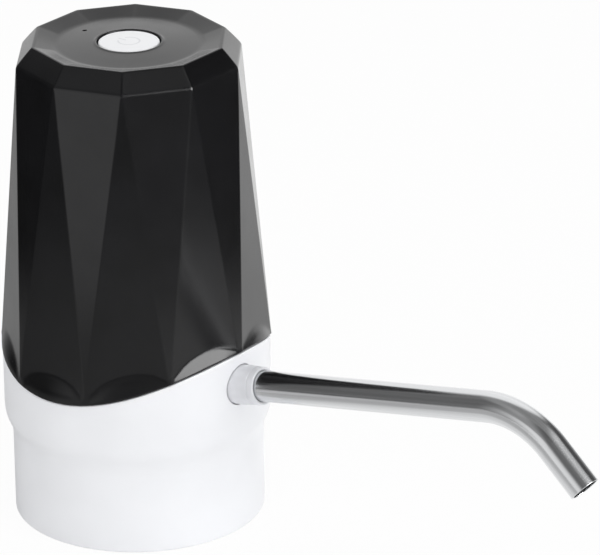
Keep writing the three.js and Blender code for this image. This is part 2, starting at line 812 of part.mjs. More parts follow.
function pumpBody() {
  const block = prism(pumpOutline(bodyRadius), chamberBottom, motorFace);
  const outletHole = spoutToBody(alongSpout(disc(barbBore, 2 * gearLineDistance, beltRadius)));
  const room = chamberRoom(chamberBottom - overrun, chamberTop);
  const onShaft = (body) => at(body, gearLineDistance, -pitchRadius);
  const shaftHole = onShaft(disc(shaftRadius + clearance, 0, totalHeight));
  const sealRoom = onShaft(disc(sealRadius + clearance, sealBottom - clearance, totalHeight));
  const pilotRoom = onShaft(disc(motorPilotRadius + clearance, pinTop, totalHeight));
  const pinHole = at(disc(shaftRadius + clearance, 0, pinTop + clearance), gearLineDistance, pitchRadius);
  const screwHoles = [-1, 1].flatMap((side) => [
    onShaft(at(disc(motorScrewRadius + clearance, 0, totalHeight, tinySides), side * motorScrewDistance, 0)),
    onShaft(at(disc(motorScrewHeadRadius + clearance, 0, motorScrewSeat), side * motorScrewDistance, 0)),
  ]);
  const body = joined([block, earPlate(chamberBottom, chamberBottom + earThickness), outletBarb()]);
  return cut(body, [room, outletHole, shaftHole, sealRoom, pilotRoom, pinHole, ...screwHoles, ...earHoles()]);
}

function shaftSeal() {
  const top = sealBottom + sealThickness - clearance;
  const seal = ring(sealRadius, shaftRadius + clearance, sealBottom, top, smallSides);
  return at(seal, gearLineDistance, -pitchRadius);
}

function pumpMotor() {
  const can = disc(motorRadius, motorFace, motorTop, midSides);
  const pilot = disc(motorPilotRadius, motorFace - motorPilotHeight, motorFace + overrun);
  const shaftRoom = disc(shaftRadius + clearance, 0, motorFace + shaftReach);
  const screwTip = motorFace + motorScrewReach + clearance;
  const screwHoles = [-1, 1].map((side) =>
    at(disc(motorScrewRadius + clearance, 0, screwTip, tinySides), side * motorScrewDistance, 0));
  return at(cut(can.add(pilot), [shaftRoom, ...screwHoles]), gearLineDistance, -pitchRadius);
}

function motorEndCap() {
  const plate = disc(endCapRadius, motorTop, motorTop + endCapThickness, midSides);
  const boss = disc(rearBossRadius, motorTop, motorTop + endCapThickness + rearBossHeight);
  const halfWidth = terminalWidth / 2;
  const halfThickness = terminalThickness / 2;
  const tabs = [-1, 1].map((side) => {
    const middle = side * terminalDistance;
    const bottom = motorTop + endCapThickness / 2;
    const top = motorTop + endCapThickness + terminalHeight;
    return box(-halfWidth, halfWidth, middle - halfThickness, middle + halfThickness, bottom, top);
  });
  return at(joined([plate, boss, ...tabs]), gearLineDistance, -pitchRadius);
}

function batteryCell() {
  const top = batteryBottom + batteryLength;
  return at(turned([
    [0, batteryBottom],
    [batteryRadius, batteryBottom],
    [batteryRadius, top],
    [nubRadius, top],
    [nubRadius, top + nubHeight],
    [0, top + nubHeight],
  ], midSides), batteryX, batteryY);
}

// Sector of a ring, from one angle to the next turning to the left
function sector(outer, inner, from, to, bottom, top) {
  const shape = new THREE.Shape();
  shape.absarc(0, 0, outer, from, to, false);
  shape.absarc(0, 0, inner, to, from, true);
  shape.closePath();
  return prism(shape, bottom, top);
}

function batteryHolder() {
  const topOfPlate = holderTop + holderTopThickness;
  const wall = sector(holderRadius, holderBore, holderOpenStart, holderOpenEnd, holderFloorHeight, topOfPlate);
  const motorX = gearLineDistance - batteryX;
  const motorY = -pitchRadius - batteryY;
  const motorRoom = at(disc(motorRadius + looseClearance, deckTop, totalHeight, midSides), motorX, motorY);
  const floor = disc(holderRadius, holderFloorHeight, batteryBottom, midSides).subtract(motorRoom);
  const cover = sector(
    holderRadius, holderTopHoleRadius, holderOpenStart, holderOpenEnd, holderTop, topOfPlate);
  const floorMiddle = holderFloorHeight + holderFloorThickness / 2;
  const legs = sector(holderRadius, holderBore, holderLegStart, holderLegEnd, deckTop, floorMiddle);
  const foot = box(footLeft, footRight, -footHalfWidth, footHalfWidth, deckTop, deckTop + footThickness)
    .intersect(disc(holderRadius, deckTop, totalHeight, midSides));
  const driverHole = disc(
    smallHeadRadius + looseClearance, holderFloorHeight - overrun, batteryBottom + overrun);
  const holes = [-1, 1].flatMap((side) =>
    [disc(smallScrewRadius + clearance, 0, holderFloorHeight - overrun), driverHole].map((hole) =>
      at(hole, -holderScrewOffset, side * holderScrewSpread)));
  return at(cut(joined([wall, floor, cover, legs, foot]), holes), batteryX, batteryY);
}

function mainBoard() {
  const half = mainBoardWidth / 2;
  const back = mainBoardX - mainBoardThickness;
  const board = box(back, mainBoardX, -half, half, boardBottom, boardBottom + mainBoardHeight);
  const row = boardBottom + mainBoardHeight - chipSize;
  const part = (size, thickness, y) => {
    const middle = back + mainBoardThickness / 2;
    return box(back - thickness, middle, y - size / 2, y + size / 2, row - size / 2, row + size / 2);
  };
  return joined([board, part(chipSize, chipThickness, -chipSize / 2), part(coilSize, coilThickness, coilSize)]);
}

function usbSocket() {
  const back = mainBoardX - mainBoardThickness;
  const mouth = clearance - Math.sqrt(beltInner ** 2 - (socketWidth / 2) ** 2);
  const shell = usbOpening(0, mouth, back);
  const hollow = usbOpening(-socketShell, mouth - overrun, back - socketBackWall);
  const tongueHalf = socketTongue / 2;
  const reach = socketWidth / 2 - socketShell - socketTongueGap;
  const tongueEnd = back - socketBackWall / 2;
  const tongue = box(
    mouth + socketShell, tongueEnd, -reach, reach, socketCentre - tongueHalf, socketCentre + tongueHalf);
  return shell.subtract(hollow).add(tongue);
}

// Straight, round and straight again: the centre line of the spout in its own frame
class SpoutCurve extends THREE.Curve {
  constructor(start) {
    super();
    this.start = start;
    this.straight = spoutStraightEnd - start;
    this.arc = spoutBendRadius * spoutBendAngle;
    this.total = this.straight + this.arc + spoutEndLength;
  }
  getPoint(share, target = new THREE.Vector3()) {
    const length = share * this.total;
    if (length <= this.straight) return target.set(this.start + length, 0, 0);
    const angle = Math.min(length - this.straight, this.arc) / spoutBendRadius;
    const rest = Math.max(0, length - this.straight - this.arc);
    const x = spoutStraightEnd + spoutBendRadius * Math.sin(angle) + rest * Math.cos(angle);
    const z = -spoutBendRadius * (1 - Math.cos(angle)) - rest * Math.sin(angle);
    return target.set(x, 0, z);
  }
}

function spoutTube() {
  const section = new THREE.Shape();
  section.absarc(0, 0, spoutRadius, 0, fullTurn, false);
  const bore = new THREE.Path();
  bore.absarc(0, 0, spoutRadius - spoutWall, 0, fullTurn, true);
  section.holes.push(bore);
  const extrudePath = new SpoutCurve(flangeBack + tubeEndGap);
  const curveSegments = spoutSides / 2;
  return solid(new THREE.ExtrudeGeometry(section, { steps: spoutSteps, extrudePath, curveSegments }));
}

function spoutCollar() {
  const grooveRadius = spoutRadius + 2 * oRingSection + looseClearance;
  const barbTip = flangeBack - collarBarbLength;
  return alongSpout(turned([
    [barbBore, barbTip],
    [barbRadius, barbTip],
    [barbRadius + barbRidge, barbTip + collarBarbLength * collarCrestShare],
    [barbRadius, barbTip + collarBarbLength * collarBackShare],
    [barbRadius, collarShoulder],
    [collarFlangeRadius, collarShoulder],
    [collarFlangeRadius, flangeFront],
    [collarRadius, flangeFront],
    [collarRadius, collarFront - collarLipLength - collarTaperLength],
    [collarFrontRadius, collarFront - collarLipLength],
    [collarFrontRadius, collarFront],
    [tubeBore, collarFront],
    [tubeBore, grooveEnd],
    [grooveRadius, grooveEnd],
    [grooveRadius, grooveStart],
    [tubeBore, grooveStart],
    [tubeBore, flangeBack],
    [barbBore, flangeBack],
  ], midSides));
}

// A ring of round section about the Z axis
function roundRing(radius, section, middle, sides = midSides) {
  const around = 6;
  const outline = [];
  for (let k = 0; k < around; k += 1) {
    const angle = fullTurn * (k + 0.5) / around;
    outline.push([radius + section * Math.cos(angle), middle + section * Math.sin(angle)]);
  }
  return turned(outline, sides);
}

function spoutORing() {
  const middle = (grooveStart + grooveEnd) / 2;
  return alongSpout(roundRing(spoutRadius + clearance + oRingSection, oRingSection, middle));
}

function neckGrip() {
  const outer = skirtInnerRadius - clearance;
  const inner = outer - gripWall;
  const pitch = gripHeight / gripLips;
  const gripTop = gripBottom + gripHeight;
  const outline = [[inner, gripBottom], [outer, gripBottom], [outer, gripTop], [inner, gripTop]];
  for (let k = gripLips - 1; k >= 0; k -= 1) {
    const middle = gripBottom + pitch * (k + 0.5);
    const lipTop = middle + gripLipHalfHeight;
    outline.push([inner, lipTop], [gripInnerRadius, middle], [inner, middle - gripLipHalfHeight]);
  }
  return turned(outline, gripSides);
}

function lead(points) {
  const extrudePath = new THREE.CatmullRomCurve3(points.map((point) => new THREE.Vector3(...point)));
  const section = new THREE.Shape();
  section.absarc(0, 0, leadRadius, 0, fullTurn, false);
  const curveSegments = leadSides / 2;
  return solid(new THREE.ExtrudeGeometry(section, { steps: leadSteps, extrudePath, curveSegments }));
}

addPiece("upper_housing", upperHousing(), blackGloss);
addPiece("lower_housing", lowerHousing(), whiteGloss);
addPiece("power_button", powerButton(), whiteGloss);
addPiece("switch_plunger", disc(plungerRadius, boardTop + switchHeight / 2, plungerTop), darkPlastic);
addPiece("tact_switch", tactSwitch(), platedSteel);
addPiece("switch_board", switchBoard(), greenBoard);
addPiece("indicator_led", indicatorLed(), ledClear);

[-1, 1].forEach((side, k) => {
  const body = smallScrew(boardThickness + boardDrop - screwTipGap);
  addPiece(`board_screw_${k + 1}`, seatedAt(body, 0, side * boardScrewDistance, boardUnderside), platedSteel);
});

addPiece("battery_cell", batteryCell(), sleeveBlue);
addPiece("battery_holder", batteryHolder(), darkPlastic);
holderScrews.forEach(([x, y], k) => {
  const seat = deckTop + footThickness;
  const body = headUp(smallScrew(seat - blindFloor - screwTipGap));
  addPiece(`holder_screw_${k + 1}`, seatedAt(body, x, y, seat), platedSteel);
});

addPiece("main_board", mainBoard(), greenBoard);
addPiece("usb_socket", usbSocket(), platedSteel);

addPiece("pump_motor", pumpMotor(), platedSteel);
addPiece("motor_end_cap", motorEndCap(), darkPlastic);
const motorShaft = at(disc(shaftRadius, gearBottom, shaftTop), gearLineDistance, -pitchRadius);
addPiece("motor_shaft", motorShaft, polishedSteel);
[-1, 1].forEach((side, k) => {
  const reach = motorFace - motorScrewSeat + motorScrewReach;
  const body = screw(motorScrewHeadRadius, motorScrewHeadHeight, motorScrewRadius, reach);
  const x = gearLineDistance + side * motorScrewDistance;
  addPiece(`motor_screw_${k + 1}`, seatedAt(body, x, -pitchRadius, motorScrewSeat), platedSteel);
});

addPiece("drive_gear", gear(-1, 90 * degree), gearPlastic);
addPiece("driven_gear", gear(1, 90 * degree + Math.PI / gearTeeth), gearPlastic);
const idlerPin = at(disc(shaftRadius, chamberBottom, pinTop), gearLineDistance, pitchRadius);
addPiece("idler_pin", idlerPin, polishedSteel);
addPiece("pump_body", pumpBody(), gearPlastic);
addPiece("pump_gasket", pumpGasket(), siliconeGrey);
addPiece("pump_cover", pumpCover(), gearPlastic);
addPiece("shaft_seal", shaftSeal(), siliconeGrey);
const inletSealMiddle = deckTop - inletGrooveDepth + clearance + inletSealSection;
addPiece("inlet_seal", roundRing(inletSealRadius, inletSealSection, inletSealMiddle), siliconeGrey);
ears.forEach(([x, y], k) => {
  const seat = chamberBottom + earThickness;
  const body = headUp(smallScrew(seat - blindFloor - screwTipGap));
  addPiece(`pump_screw_${k + 1}`, seatedAt(body, x, y, seat), platedSteel);
});

const coupling = alongSpout(ring(couplingRadius, couplingBore, couplingStart, couplingEnd));
addPiece("outlet_coupling", coupling, siliconeClear, spoutLine);
[couplingStart + clipInset, couplingEnd - clipWidth - clearance].forEach((start, k) => {
  const inner = couplingRadius + clearance;
  const clip = alongSpout(ring(inner + clipWall, inner, start, start + clipWidth));
  addPiece(`hose_clip_${k + 1}`, clip, platedSteel, spoutLine);
});
addPiece("spout_collar", spoutCollar(), collarWhite, spoutLine);
addPiece("spout_o_ring", spoutORing(), siliconeGrey, spoutLine);
addPiece("spout_tube", spoutTube(), polishedSteel, spoutLine);

addPiece("neck_grip", neckGrip(), siliconeGrey);
postAngles.forEach((angle, k) => {
  const body = screw(caseHeadRadius, caseHeadHeight, caseScrewRadius, caseScrewReach);
  const placed = seatedAt(body, postDistance, 0, caseScrewSeat).rotate([0, 0, angle / degree]);
  addPiece(`housing_screw_${k + 1}`, placed, platedSteel);
});

addPiece("switch_cable", lead(switchCablePoints), siliconeGrey);
addPiece("motor_lead", lead(motorLeadPoints), leadRed);
addPiece("battery_lead", lead(batteryLeadPoints), leadRed);

export default root;
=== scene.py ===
import json
import math

import bmesh
import bpy
from mathutils import Matrix, Vector

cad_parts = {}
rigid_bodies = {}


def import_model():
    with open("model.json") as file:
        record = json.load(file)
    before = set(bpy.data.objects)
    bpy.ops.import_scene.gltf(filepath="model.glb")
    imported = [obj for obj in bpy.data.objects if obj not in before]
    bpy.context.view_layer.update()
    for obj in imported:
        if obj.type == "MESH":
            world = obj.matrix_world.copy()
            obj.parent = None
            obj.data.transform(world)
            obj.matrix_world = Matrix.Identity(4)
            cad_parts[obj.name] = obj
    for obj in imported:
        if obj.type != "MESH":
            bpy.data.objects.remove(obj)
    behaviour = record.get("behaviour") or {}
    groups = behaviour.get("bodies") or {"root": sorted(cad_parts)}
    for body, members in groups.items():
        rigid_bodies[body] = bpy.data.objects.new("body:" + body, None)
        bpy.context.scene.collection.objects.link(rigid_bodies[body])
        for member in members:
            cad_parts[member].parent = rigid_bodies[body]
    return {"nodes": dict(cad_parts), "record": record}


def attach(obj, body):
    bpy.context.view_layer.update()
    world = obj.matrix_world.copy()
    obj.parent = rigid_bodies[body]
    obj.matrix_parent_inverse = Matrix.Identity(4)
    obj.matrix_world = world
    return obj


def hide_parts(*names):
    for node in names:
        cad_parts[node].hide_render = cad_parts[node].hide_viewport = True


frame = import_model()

MM = 0.001
TURN = 2 * math.pi
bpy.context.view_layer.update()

# Camera, fitted to the corners of the casing in a picture 600 pixels wide
PICTURE_WIDTH = 600
FOCAL_PIXELS = 5013.1
SENSOR = 36
CAMERA_DISTANCE = 1286.5
CAMERA_AZIMUTH = math.radians(-49.6)
CAMERA_ELEVATION = math.radians(22.73)
CAMERA_YAW = -0.0329
CAMERA_PITCH = -0.0019
CAMERA_ROLL = 0.0256

# Upper housing: a ten-sided rim and chamfer, with ridges that run down to the seam
STEP = TURN / 10
HALF = STEP / 2
TOP = 128.2
RIM_APOTHEM = 25.1 * math.cos(HALF)
LAND_APOTHEM = 24.5 * math.cos(HALF)
CHAMFER_Z = 123.4
CHAMFER_RADIUS = 29.35
CHAMFER_APOTHEM = CHAMFER_RADIUS * math.cos(HALF)
LOWER_RADIUS = 35.0
LOWER_APOTHEM = LOWER_RADIUS * math.cos(HALF)
BAND_ROUND = 11.5
BAND_SINK_SHARE = 0.35
SEAM_Z = 45.2
SEAM_SWING = 5.06
SEAM_GAP = 0.3
CHAMFER_BULGE = 0.1
RIM_EDGES = ((LAND_APOTHEM, 0.3), (RIM_APOTHEM, 0.4))
RIM_DROPS = (0.9, 1.4)

# Foot of the casing: how far up its rounding starts, and its corners as (inwards, upwards)
FOOT_EDGE = 0.3
FOOT_CORNERS = ((0.06, 0.08), (0.28, 0.0))

# Inside of the casing, a wall in from the facets, with the heights of its corners
WALL = 2.1
TOP_INSIDE = 123.2
INSIDE_LIFT = 9
INSIDE_ROWS = (80.0, 110.0)
INSIDE_ROUND = 0.8

# How wide the soft corners are: ridges, lower edge of the chamfer, its upright corners, top of the band
RIDGE_SOFT = 0.1
CHAMFER_SOFT = 0.4
CORNER_SOFT = 0.3
BAND_SOFT = 0.6

# Where the columns of the mesh lie, counted inwards from each ridge
NARROWEST = math.radians(0.6)
MEAN_RADIUS = 32.0
RIDGE_OFFSETS = (0.0, 0.14, 0.28, 0.45, 1.0)
RIDGE_ROOM_SHARE = 1.6
INWARD_SHARES = (0.25, 0.5, 0.75, 1.0)

# Where its rows lie: round the lower edge of the chamfer, down the facet, and round the end of the facet
CHAMFER_ROWS = (2.6, 1.2, 0.6, 0.4, 0.25, 0.12, 0.0, -0.12, -0.25, -0.4, -0.6, -1.2)
FACET_ROWS = 8
BOUNDARY_ABOVE = (2.4, 1.7, 1.1, 0.65, 0.3, 0.0)
BOUNDARY_BELOW = (-0.3, -0.65, -1.1, -1.7)
BAND_ROWS = 5
BAND_ROOM = 0.7

# The end of a facet is looked for downwards. It lies at least so far above the seam
SEARCH_TOP = 66.0
SEARCH_BOTTOM = 41.0
SEARCH_STEP = 0.05
BAND_LEAST = 1.6

# Dish in the top: radius, depth and rounding of each corner, from the button's well outwards
DISH = ((8.15, 1.0, 0.15), (8.5, 0.82, 0.2), (9.1, 1.04, 0.35), (12.8, 1.22, 1.6), (18.6, 1.58, 1.0))
PINHOLE_RADIUS = 0.6
PINHOLE_X = -14.6
PINHOLE_CUT = (120.0, 130.0)

# Lower housing: a skirt, a belt above it, a deck inside, and a tongue that stands up behind the seam
SKIRT_RADIUS = 32.5
SKIRT_INNER = 30.5
SHOULDER_LOW = 23.4
SHOULDER_HIGH = 27.4
BELT_RADIUS = 34.5
BELT_INNER = 32.5
DECK_BOTTOM = 28.0
DECK_MIDDLE = 29.0
DECK_TOP = 30.2
TONGUE_OUTER = 30.387
TONGUE_INNER = 28.987
TONGUE_REACH = 3.0
INLET_HOLE = 4.1
HOLE_ROUND = 0.2
DECK_ROUND = 0.8
RIM_INNER_ROUND = 0.35
RIM_OUTER_ROUND = 0.5
SHOULDER_ROUND = 2.4
SEAM_ROUND = 0.35
TONGUE_ROUND = 0.3
BELT_INNER_ROUND = 0.5

# Bosses below the deck, pedestals on it, and wells and holes for the screws that join the housings
BOSS_RADIUS = 2.7
BOSS_BOTTOM = 23.5
BOSS_PLACES = ((-6.6, -10), (16.6, -10), (16.6, 10), (-6.6, 10), (-14.476, 2.994), (-14.476, 12.994))
POST_DISTANCE = 25.387
POST_TURNS = [math.radians(angle) for angle in (60, 300, 215)]
POST_PLACES = [(POST_DISTANCE * math.cos(turn), POST_DISTANCE * math.sin(turn)) for turn in POST_TURNS]
PEDESTAL_RADIUS = 3.6
PEDESTAL_TOP = 32.8
SCREW_SEAT = 30.3
WELL_RADIUS = 2.8
HOLE_RADIUS = 1.7
CUT_BOTTOM = 20.0
CUT_TOP = 40.0
COLLAR_HOLE_RADIUS = 5.35
COLLAR_HOLE_CUT = (29.0, 42.0)

# Spout line: it leaves the body's axis at this height and rises outwards
SPOUT_TILT = math.radians(10.73)
SPOUT_Z = 35.35
SPOUT_START = 27.8
SPOUT_STRAIGHT = 113.6
SPOUT_BEND = 23.5
SPOUT_BEND_ANGLE = math.radians(52.3)
SPOUT_TAIL = 12.9
SPOUT_RADIUS = 4.0
SPOUT_BORE = 3.5
ARC = SPOUT_BEND * SPOUT_BEND_ANGLE
SPOUT_END = SPOUT_STRAIGHT + ARC + SPOUT_TAIL
SPOUT_EDGE = 0.12
TUBE_MAP = "along_tube"

# Outlines of round pieces: distance from the axis, place along it, and rounding of each corner
BUTTON_CORNERS = (
    (0.0, 122.2, 0), (1.9, 122.2, 0), (1.9, 121.9, 0.1), (9.4, 121.9, 0.2), (9.4, 122.9, 0.2),
    (7.8, 122.9, 0.1), (7.8, 127.2, 0.55), (0.0, 127.24, 0))
COLLAR_CORNERS = (
    (1.75, 22.7, 0.1), (2.9, 22.7, 0.2), (3.2, 24.54, 0.1), (2.9, 24.77, 0.05), (2.9, 26.3, 0.2),
    (6.5, 26.3, 0.3), (6.5, 30.7, 0.3), (5.12, 30.7, 0.1), (5.08, 37.6, 0.4), (4.93, 40.5, 0.15),
    (4.72, 40.62, 0.06), (4.72, 40.9, 0.06), (4.92, 41.02, 0.12), (4.84, 42.7, 0.35), (4.3, 42.7, 0.2),
    (4.05, 42.45, 0.05), (4.2, 41.8, 0.1), (4.2, 29.9, 0), (6.0, 29.9, 0), (6.0, 28.2, 0), (4.2, 28.2, 0),
    (4.2, 27.3, 0), (1.75, 27.3, 0))

# Grip for the bottle's neck: a sleeve in the skirt with soft ribs round its inside
GRIP_INNER = 29.0
GRIP_OUTER = 30.2
GRIP_BOTTOM = 3.0
GRIP_TOP = 23.0
GRIP_EDGE = 0.3
RIB_HEIGHTS = (18.0, 8.0)
RIB_RADIUS = 27.6
RIB_HALF = 2.5
RIB_FOOT_ROUND = 0.9
RIB_TOP_ROUND = 1.3

# Hose nozzle below the deck: a pipe with barbs that widen upwards and hold a hose pushed on from below
NOZZLE_BORE = 1.8
NOZZLE_RADIUS = 3.22
NOZZLE_BOTTOM = 14.3
NOZZLE_TOP = 30.15
NOZZLE_INNER_EDGE = 0.1
NOZZLE_OUTER_EDGE = 0.3
BARB_COUNT = 3
BARB_START = 14.5
BARB_PITCH = 16.7 / 4
BARB_FOOT = 0.5
BARB_RADIUS = 3.82
BARB_TOP_SHARE = 0.75
BARB_END_SHARE = 0.8
BARB_TOP_ROUND = 0.15
BARB_END_ROUND = 0.05

# Charging socket in the back of the belt: X runs inwards, and the walls are both sides of its shell
SOCKET_Z = 39.0
SOCKET_WIDTH = 7.6
SOCKET_TALL = 2.8
SOCKET_WALLS = 0.7
SOCKET_FRONT = -31.9
SOCKET_FLOOR = -27.5
SOCKET_BACK = -26.5
PLATE_NARROWER = 2.1
PLATE_TALL = 0.7
PLATE_OFF_FLOOR = 0.2
PLATE_SET_BACK = 0.5
MOUTH_CLEARANCE = 1.0
MOUTH_CUT = (-40.0, -28.0)
RECESS_CLEARANCE = 2.4
RECESS_CUT = (-40.0, -33.8)

# Screws: piece, node, sizes, places, height of the seat, and whether the head is down
CASE_SCREW = {
    "Head Radius": 2.5, "Head Height": 2.0, "Shank Radius": 1.4, "Reach": 11.0, "Recess Width": 0.75}
SMALL_SCREW = {
    "Head Radius": 2.0, "Head Height": 1.4, "Shank Radius": 1.0, "Recess Width": 0.6}
MOTOR_SCREW = {
    "Head Radius": 1.4, "Head Height": 0.9, "Shank Radius": 0.8, "Reach": 6.5, "Recess Width": 0.42}
SCREWS = (
    ("case_screws", "housing_screw", CASE_SCREW, POST_PLACES, SCREW_SEAT, True),
    ("pump_screws", "pump_screw", {**SMALL_SCREW, "Reach": 10.2}, BOSS_PLACES[:4], 35.9, False),
    ("holder_screws", "holder_screw", {**SMALL_SCREW, "Reach": 6.5}, BOSS_PLACES[4:], 32.2, False),
    ("board_screws", "board_screw", {**SMALL_SCREW, "Reach": 5.4}, ((0, -13.2), (0, 13.2)), 116.8, True),
    ("motor_screws", "motor_screw", MOTOR_SCREW, ((-0.3, -6), (10.3, -6)), 40.3, True))

# Pairs of leads, and the points that each pair passes through
LEAD_RADIUS = 0.42
LEAD_APART = 0.86
LEADS = {
    "switch_cable": ("lead_grey", (
        (-12, -8, 116.3), (-12.6, -8.4, 114), (-17, -9, 105), (-21, -8, 80), (-25.7, -5, 62),
        (-25.9, -5, 58))),
    "motor_lead": ("lead_red", (
        (5, -7.6, 79), (2, -9.5, 81), (-4, -11.5, 80.5), (-12, -12, 75), (-20.5, -10, 66), (-25.7, -8, 61),
        (-25.9, -7.9, 58))),
    "battery_lead": ("lead_red", (
        (-12, 8, 111.9), (-12.5, 7.6, 113.9), (-15.5, 4.6, 115), (-20, 0.5, 115), (-23.2, -2.5, 109),
        (-24, -2.5, 85), (-25.7, -1.6, 64), (-25.9, -1.5, 58))),
}

# The studio. What reflections see is given by compass direction, as (degrees, strength), and 1 is white
AMBIENT = 0.63
BRIGHTEST = 2.0
FLOOR_OWN_WHITE = 0.93
FLOOR_FAR = (
    (-180, 0.25), (-170, 0.04), (-154, 0.03), (-142, 0.12), (-127, 0.11), (-112, 0.3), (-101, 0.85),
    (-94, 1.3), (-86, 1.05), (-76, 0.42), (-68, 0.3), (-58, 0.22), (-30, 0.3), (-22, 0.32), (-12, 0.5),
    (-5, 0.65), (4, 0.32), (13, 0.2), (48, 0.1), (62, 0.3), (76, 1.4), (103, 1.3), (130, 1.1), (148, 0.8),
    (165, 0.6), (180, 0.25))
POOL_NEAR = (
    (-180, 0.4), (-164, 0.3), (-140, 0.36), (-128, 0.36), (-120, 0.45), (-112, 0.8), (-104, 0.65),
    (-94, 0.55), (-58, 0.6), (-22, 1.0), (9, 1.1), (43, 0.95), (74, 1.2), (95, 0.95), (130, 0.8), (155, 0.6),
    (170, 0.58), (180, 0.4))
HORIZON = (
    (-180, 0.2), (-166, 0.06), (-145, 0.14), (-130, 0.15), (-112, 0.75), (-100, 1.1), (-88, 1.0), (-78, 0.4),
    (-58, 0.33), (-22, 0.5), (13, 0.5), (48, 0.15), (64, 0.2), (84, 0.25), (94, 0.6), (103, 1.3),
    (130, 1.15), (148, 1.0), (160, 0.5), (180, 0.2))
POOL_MIDDLE = (48, -57, 0)
POOL_INNER = 215
POOL_OUTER = 310
CEILING = (
    (-180, 0.2), (-165, 0.24), (-150, 0.16), (-132, 0.18), (-115, 0.34), (-86, 0.38), (-72, 0.16), (-58, 0.2),
    (-30, 0.33), (0, 0.14), (30, 0.08), (145, 0.12), (180, 0.2))
CEILING_RISE = (0.32, 0.46)
OVERHEAD = (
    (-180, 0.3), (-130, 0.4), (-106, 0.52), (-80, 0.28), (-64, 0.12), (-46, 0.12), (-31, 0.36), (-14, 0.56),
    (0, 0.78), (25, 0.78), (44, 0.6), (58, 0.2), (90, 0.1), (180, 0.3))
OVERHEAD_RISE = (0.67, 0.76)
ZENITH = 0.3
ZENITH_RISE = (0.86, 0.93)

# Soft panels: direction and height of the middle, inner and outer radius, all in degrees, and strength
PANELS = ((130, 45, 20, 38, 1.2), (6, 15, 20, 27, 10.0))

# Lamps: name, direction and height in degrees, distance, width and height in metres, and power
LAMPS = (
    ("key", -3, 15, 0.95, 0.6, 0.46, 3.15), ("side_panel", -100, 4.5, 0.5, 0.3, 0.2, 0.26),
    ("overhead", -50, 85, 1.1, 0.7, 0.7, 3.0))

# The point that the lamps face, and half the width of the floor, in metres
LAMP_AIM = (0, 0, 0.06)
FLOOR_HALF = 6.0

# Between which values a noise mostly lies
NOISE_LOW = 0.3
NOISE_HIGH = 0.7

# How near two points are that touch, in metres
TOUCHING = 1e-7

# Rounding of an outline's corner: the most that it takes of a side, and where the points of its curve are
ROUNDING_MOST_SHARE = 0.45
ROUNDING_SHARES = (0.0, 0.25, 0.5, 0.75, 1.0)


def linear(code):
    """The linear colour of an sRGB hex value."""
    parts = [int(code[i:i + 2], 16) / 255 for i in (0, 2, 4)]
    return tuple(c / 12.92 if c <= 0.04045 else ((c + 0.055) / 1.055) ** 2.4 for c in parts) + (1.0,)


def per(size):
    """The scale that makes a pattern's features that many millimetres wide."""
    return 1 / (size * MM)


def add(tree, kind, settings=None, links=None):
    """A node of one kind, with its settings and with a value or a link for each input."""
    node = tree.nodes.new(kind)
    for key, value in (settings or {}).items():
        setattr(node, key, value)
    for key, value in (links or {}).items():
        if isinstance(value, bpy.types.NodeSocket):
            tree.links.new(value, node.inputs[key])
        else:
            node.inputs[key].default_value = value
    return node


def surface(name, roughness, metallic=0.0, ior=None, specular=0.5):
    """A new material: itself, its tree, its shader and the object's coordinates."""
    made = bpy.data.materials.new(name)
    made.use_nodes = True
    tree = made.node_tree
    tree.nodes.clear()
    shader = add(tree, "ShaderNodeBsdfPrincipled", links={
        "Roughness": roughness, "Metallic": metallic, "Specular IOR Level": specular})
    if ior:
        shader.inputs["IOR"].default_value = ior
    add(tree, "ShaderNodeOutputMaterial", links={"Surface": shader.outputs["BSDF"]})
    place = add(tree, "ShaderNodeTexCoord").outputs["Object"]
    return made, tree, shader, place


def drift(tree, place, size, detail=2.0, low=0.0, high=1.0):
    """A value that wanders between two ends, over features of a size in millimetres."""
    noise = add(tree, "ShaderNodeTexNoise", links={"Vector": place, "Scale": per(size), "Detail": detail})
    spread = add(tree, "ShaderNodeMapRange", {"clamp": False}, {
        "Value": noise.outputs["Fac"], "From Min": NOISE_LOW, "From Max": NOISE_HIGH,
        "To Min": low, "To Max": high})
    return spread.outputs["Result"]


def finish(tree, shader, share, dark, light, *reliefs):
    """Colours a surface between two shades. A relief is (height, depth in mm, strength), broadest first."""
    colour = add(tree, "ShaderNodeMix", {"data_type": "RGBA"}, {0: share, 6: linear(dark), 7: linear(light)})
    tree.links.new(colour.outputs[2], shader.inputs["Base Color"])
    below = {}
    for height, depth, strength in reliefs:
        bump = add(tree, "ShaderNodeBump", links={
            "Height": height, "Distance": depth * MM, "Strength": strength, **below})
        below = {"Normal": bump.outputs["Normal"]}
    tree.links.new(below["Normal"], shader.inputs["Normal"])


def gloss_black_abs():
    # High-gloss black ABS, injection moulded: deep black, reflections a little blurred by a slow waviness
    cloud, sheen, wave, wave_deep, grain, grain_deep = 18, 7, 16, 0.012, 0.5, 0.0006
    made, tree, shader, place = surface("gloss_black_abs_moulded", 0.2, ior=1.53, specular=0.32)
    tree.links.new(drift(tree, place, sheen, 4.0, 0.16, 0.21), shader.inputs["Roughness"])
    finish(tree, shader, drift(tree, place, cloud), "0b0b0c", "121214",
           (drift(tree, place, wave, 1.0), wave_deep, 1.0), (drift(tree, place, grain, 3.0), grain_deep, 0.5))
    return made


def satin_white_abs():
    # White ABS, injection moulded: a cool white with a soft gloss and a very fine mould texture
    cloud, sheen, wave, wave_deep, grain, grain_deep = 22, 9, 20, 0.015, 0.6, 0.0006
    made, tree, shader, place = surface("satin_white_abs_moulded", 0.34, ior=1.53)
    tree.links.new(drift(tree, place, sheen, 3.0, 0.31, 0.37), shader.inputs["Roughness"])
    finish(tree, shader, drift(tree, place, cloud), "ecedf0", "f2f3f6",
           (drift(tree, place, wave, 1.0), wave_deep, 1.0), (drift(tree, place, grain, 1.0), grain_deep, 0.4))
    return made


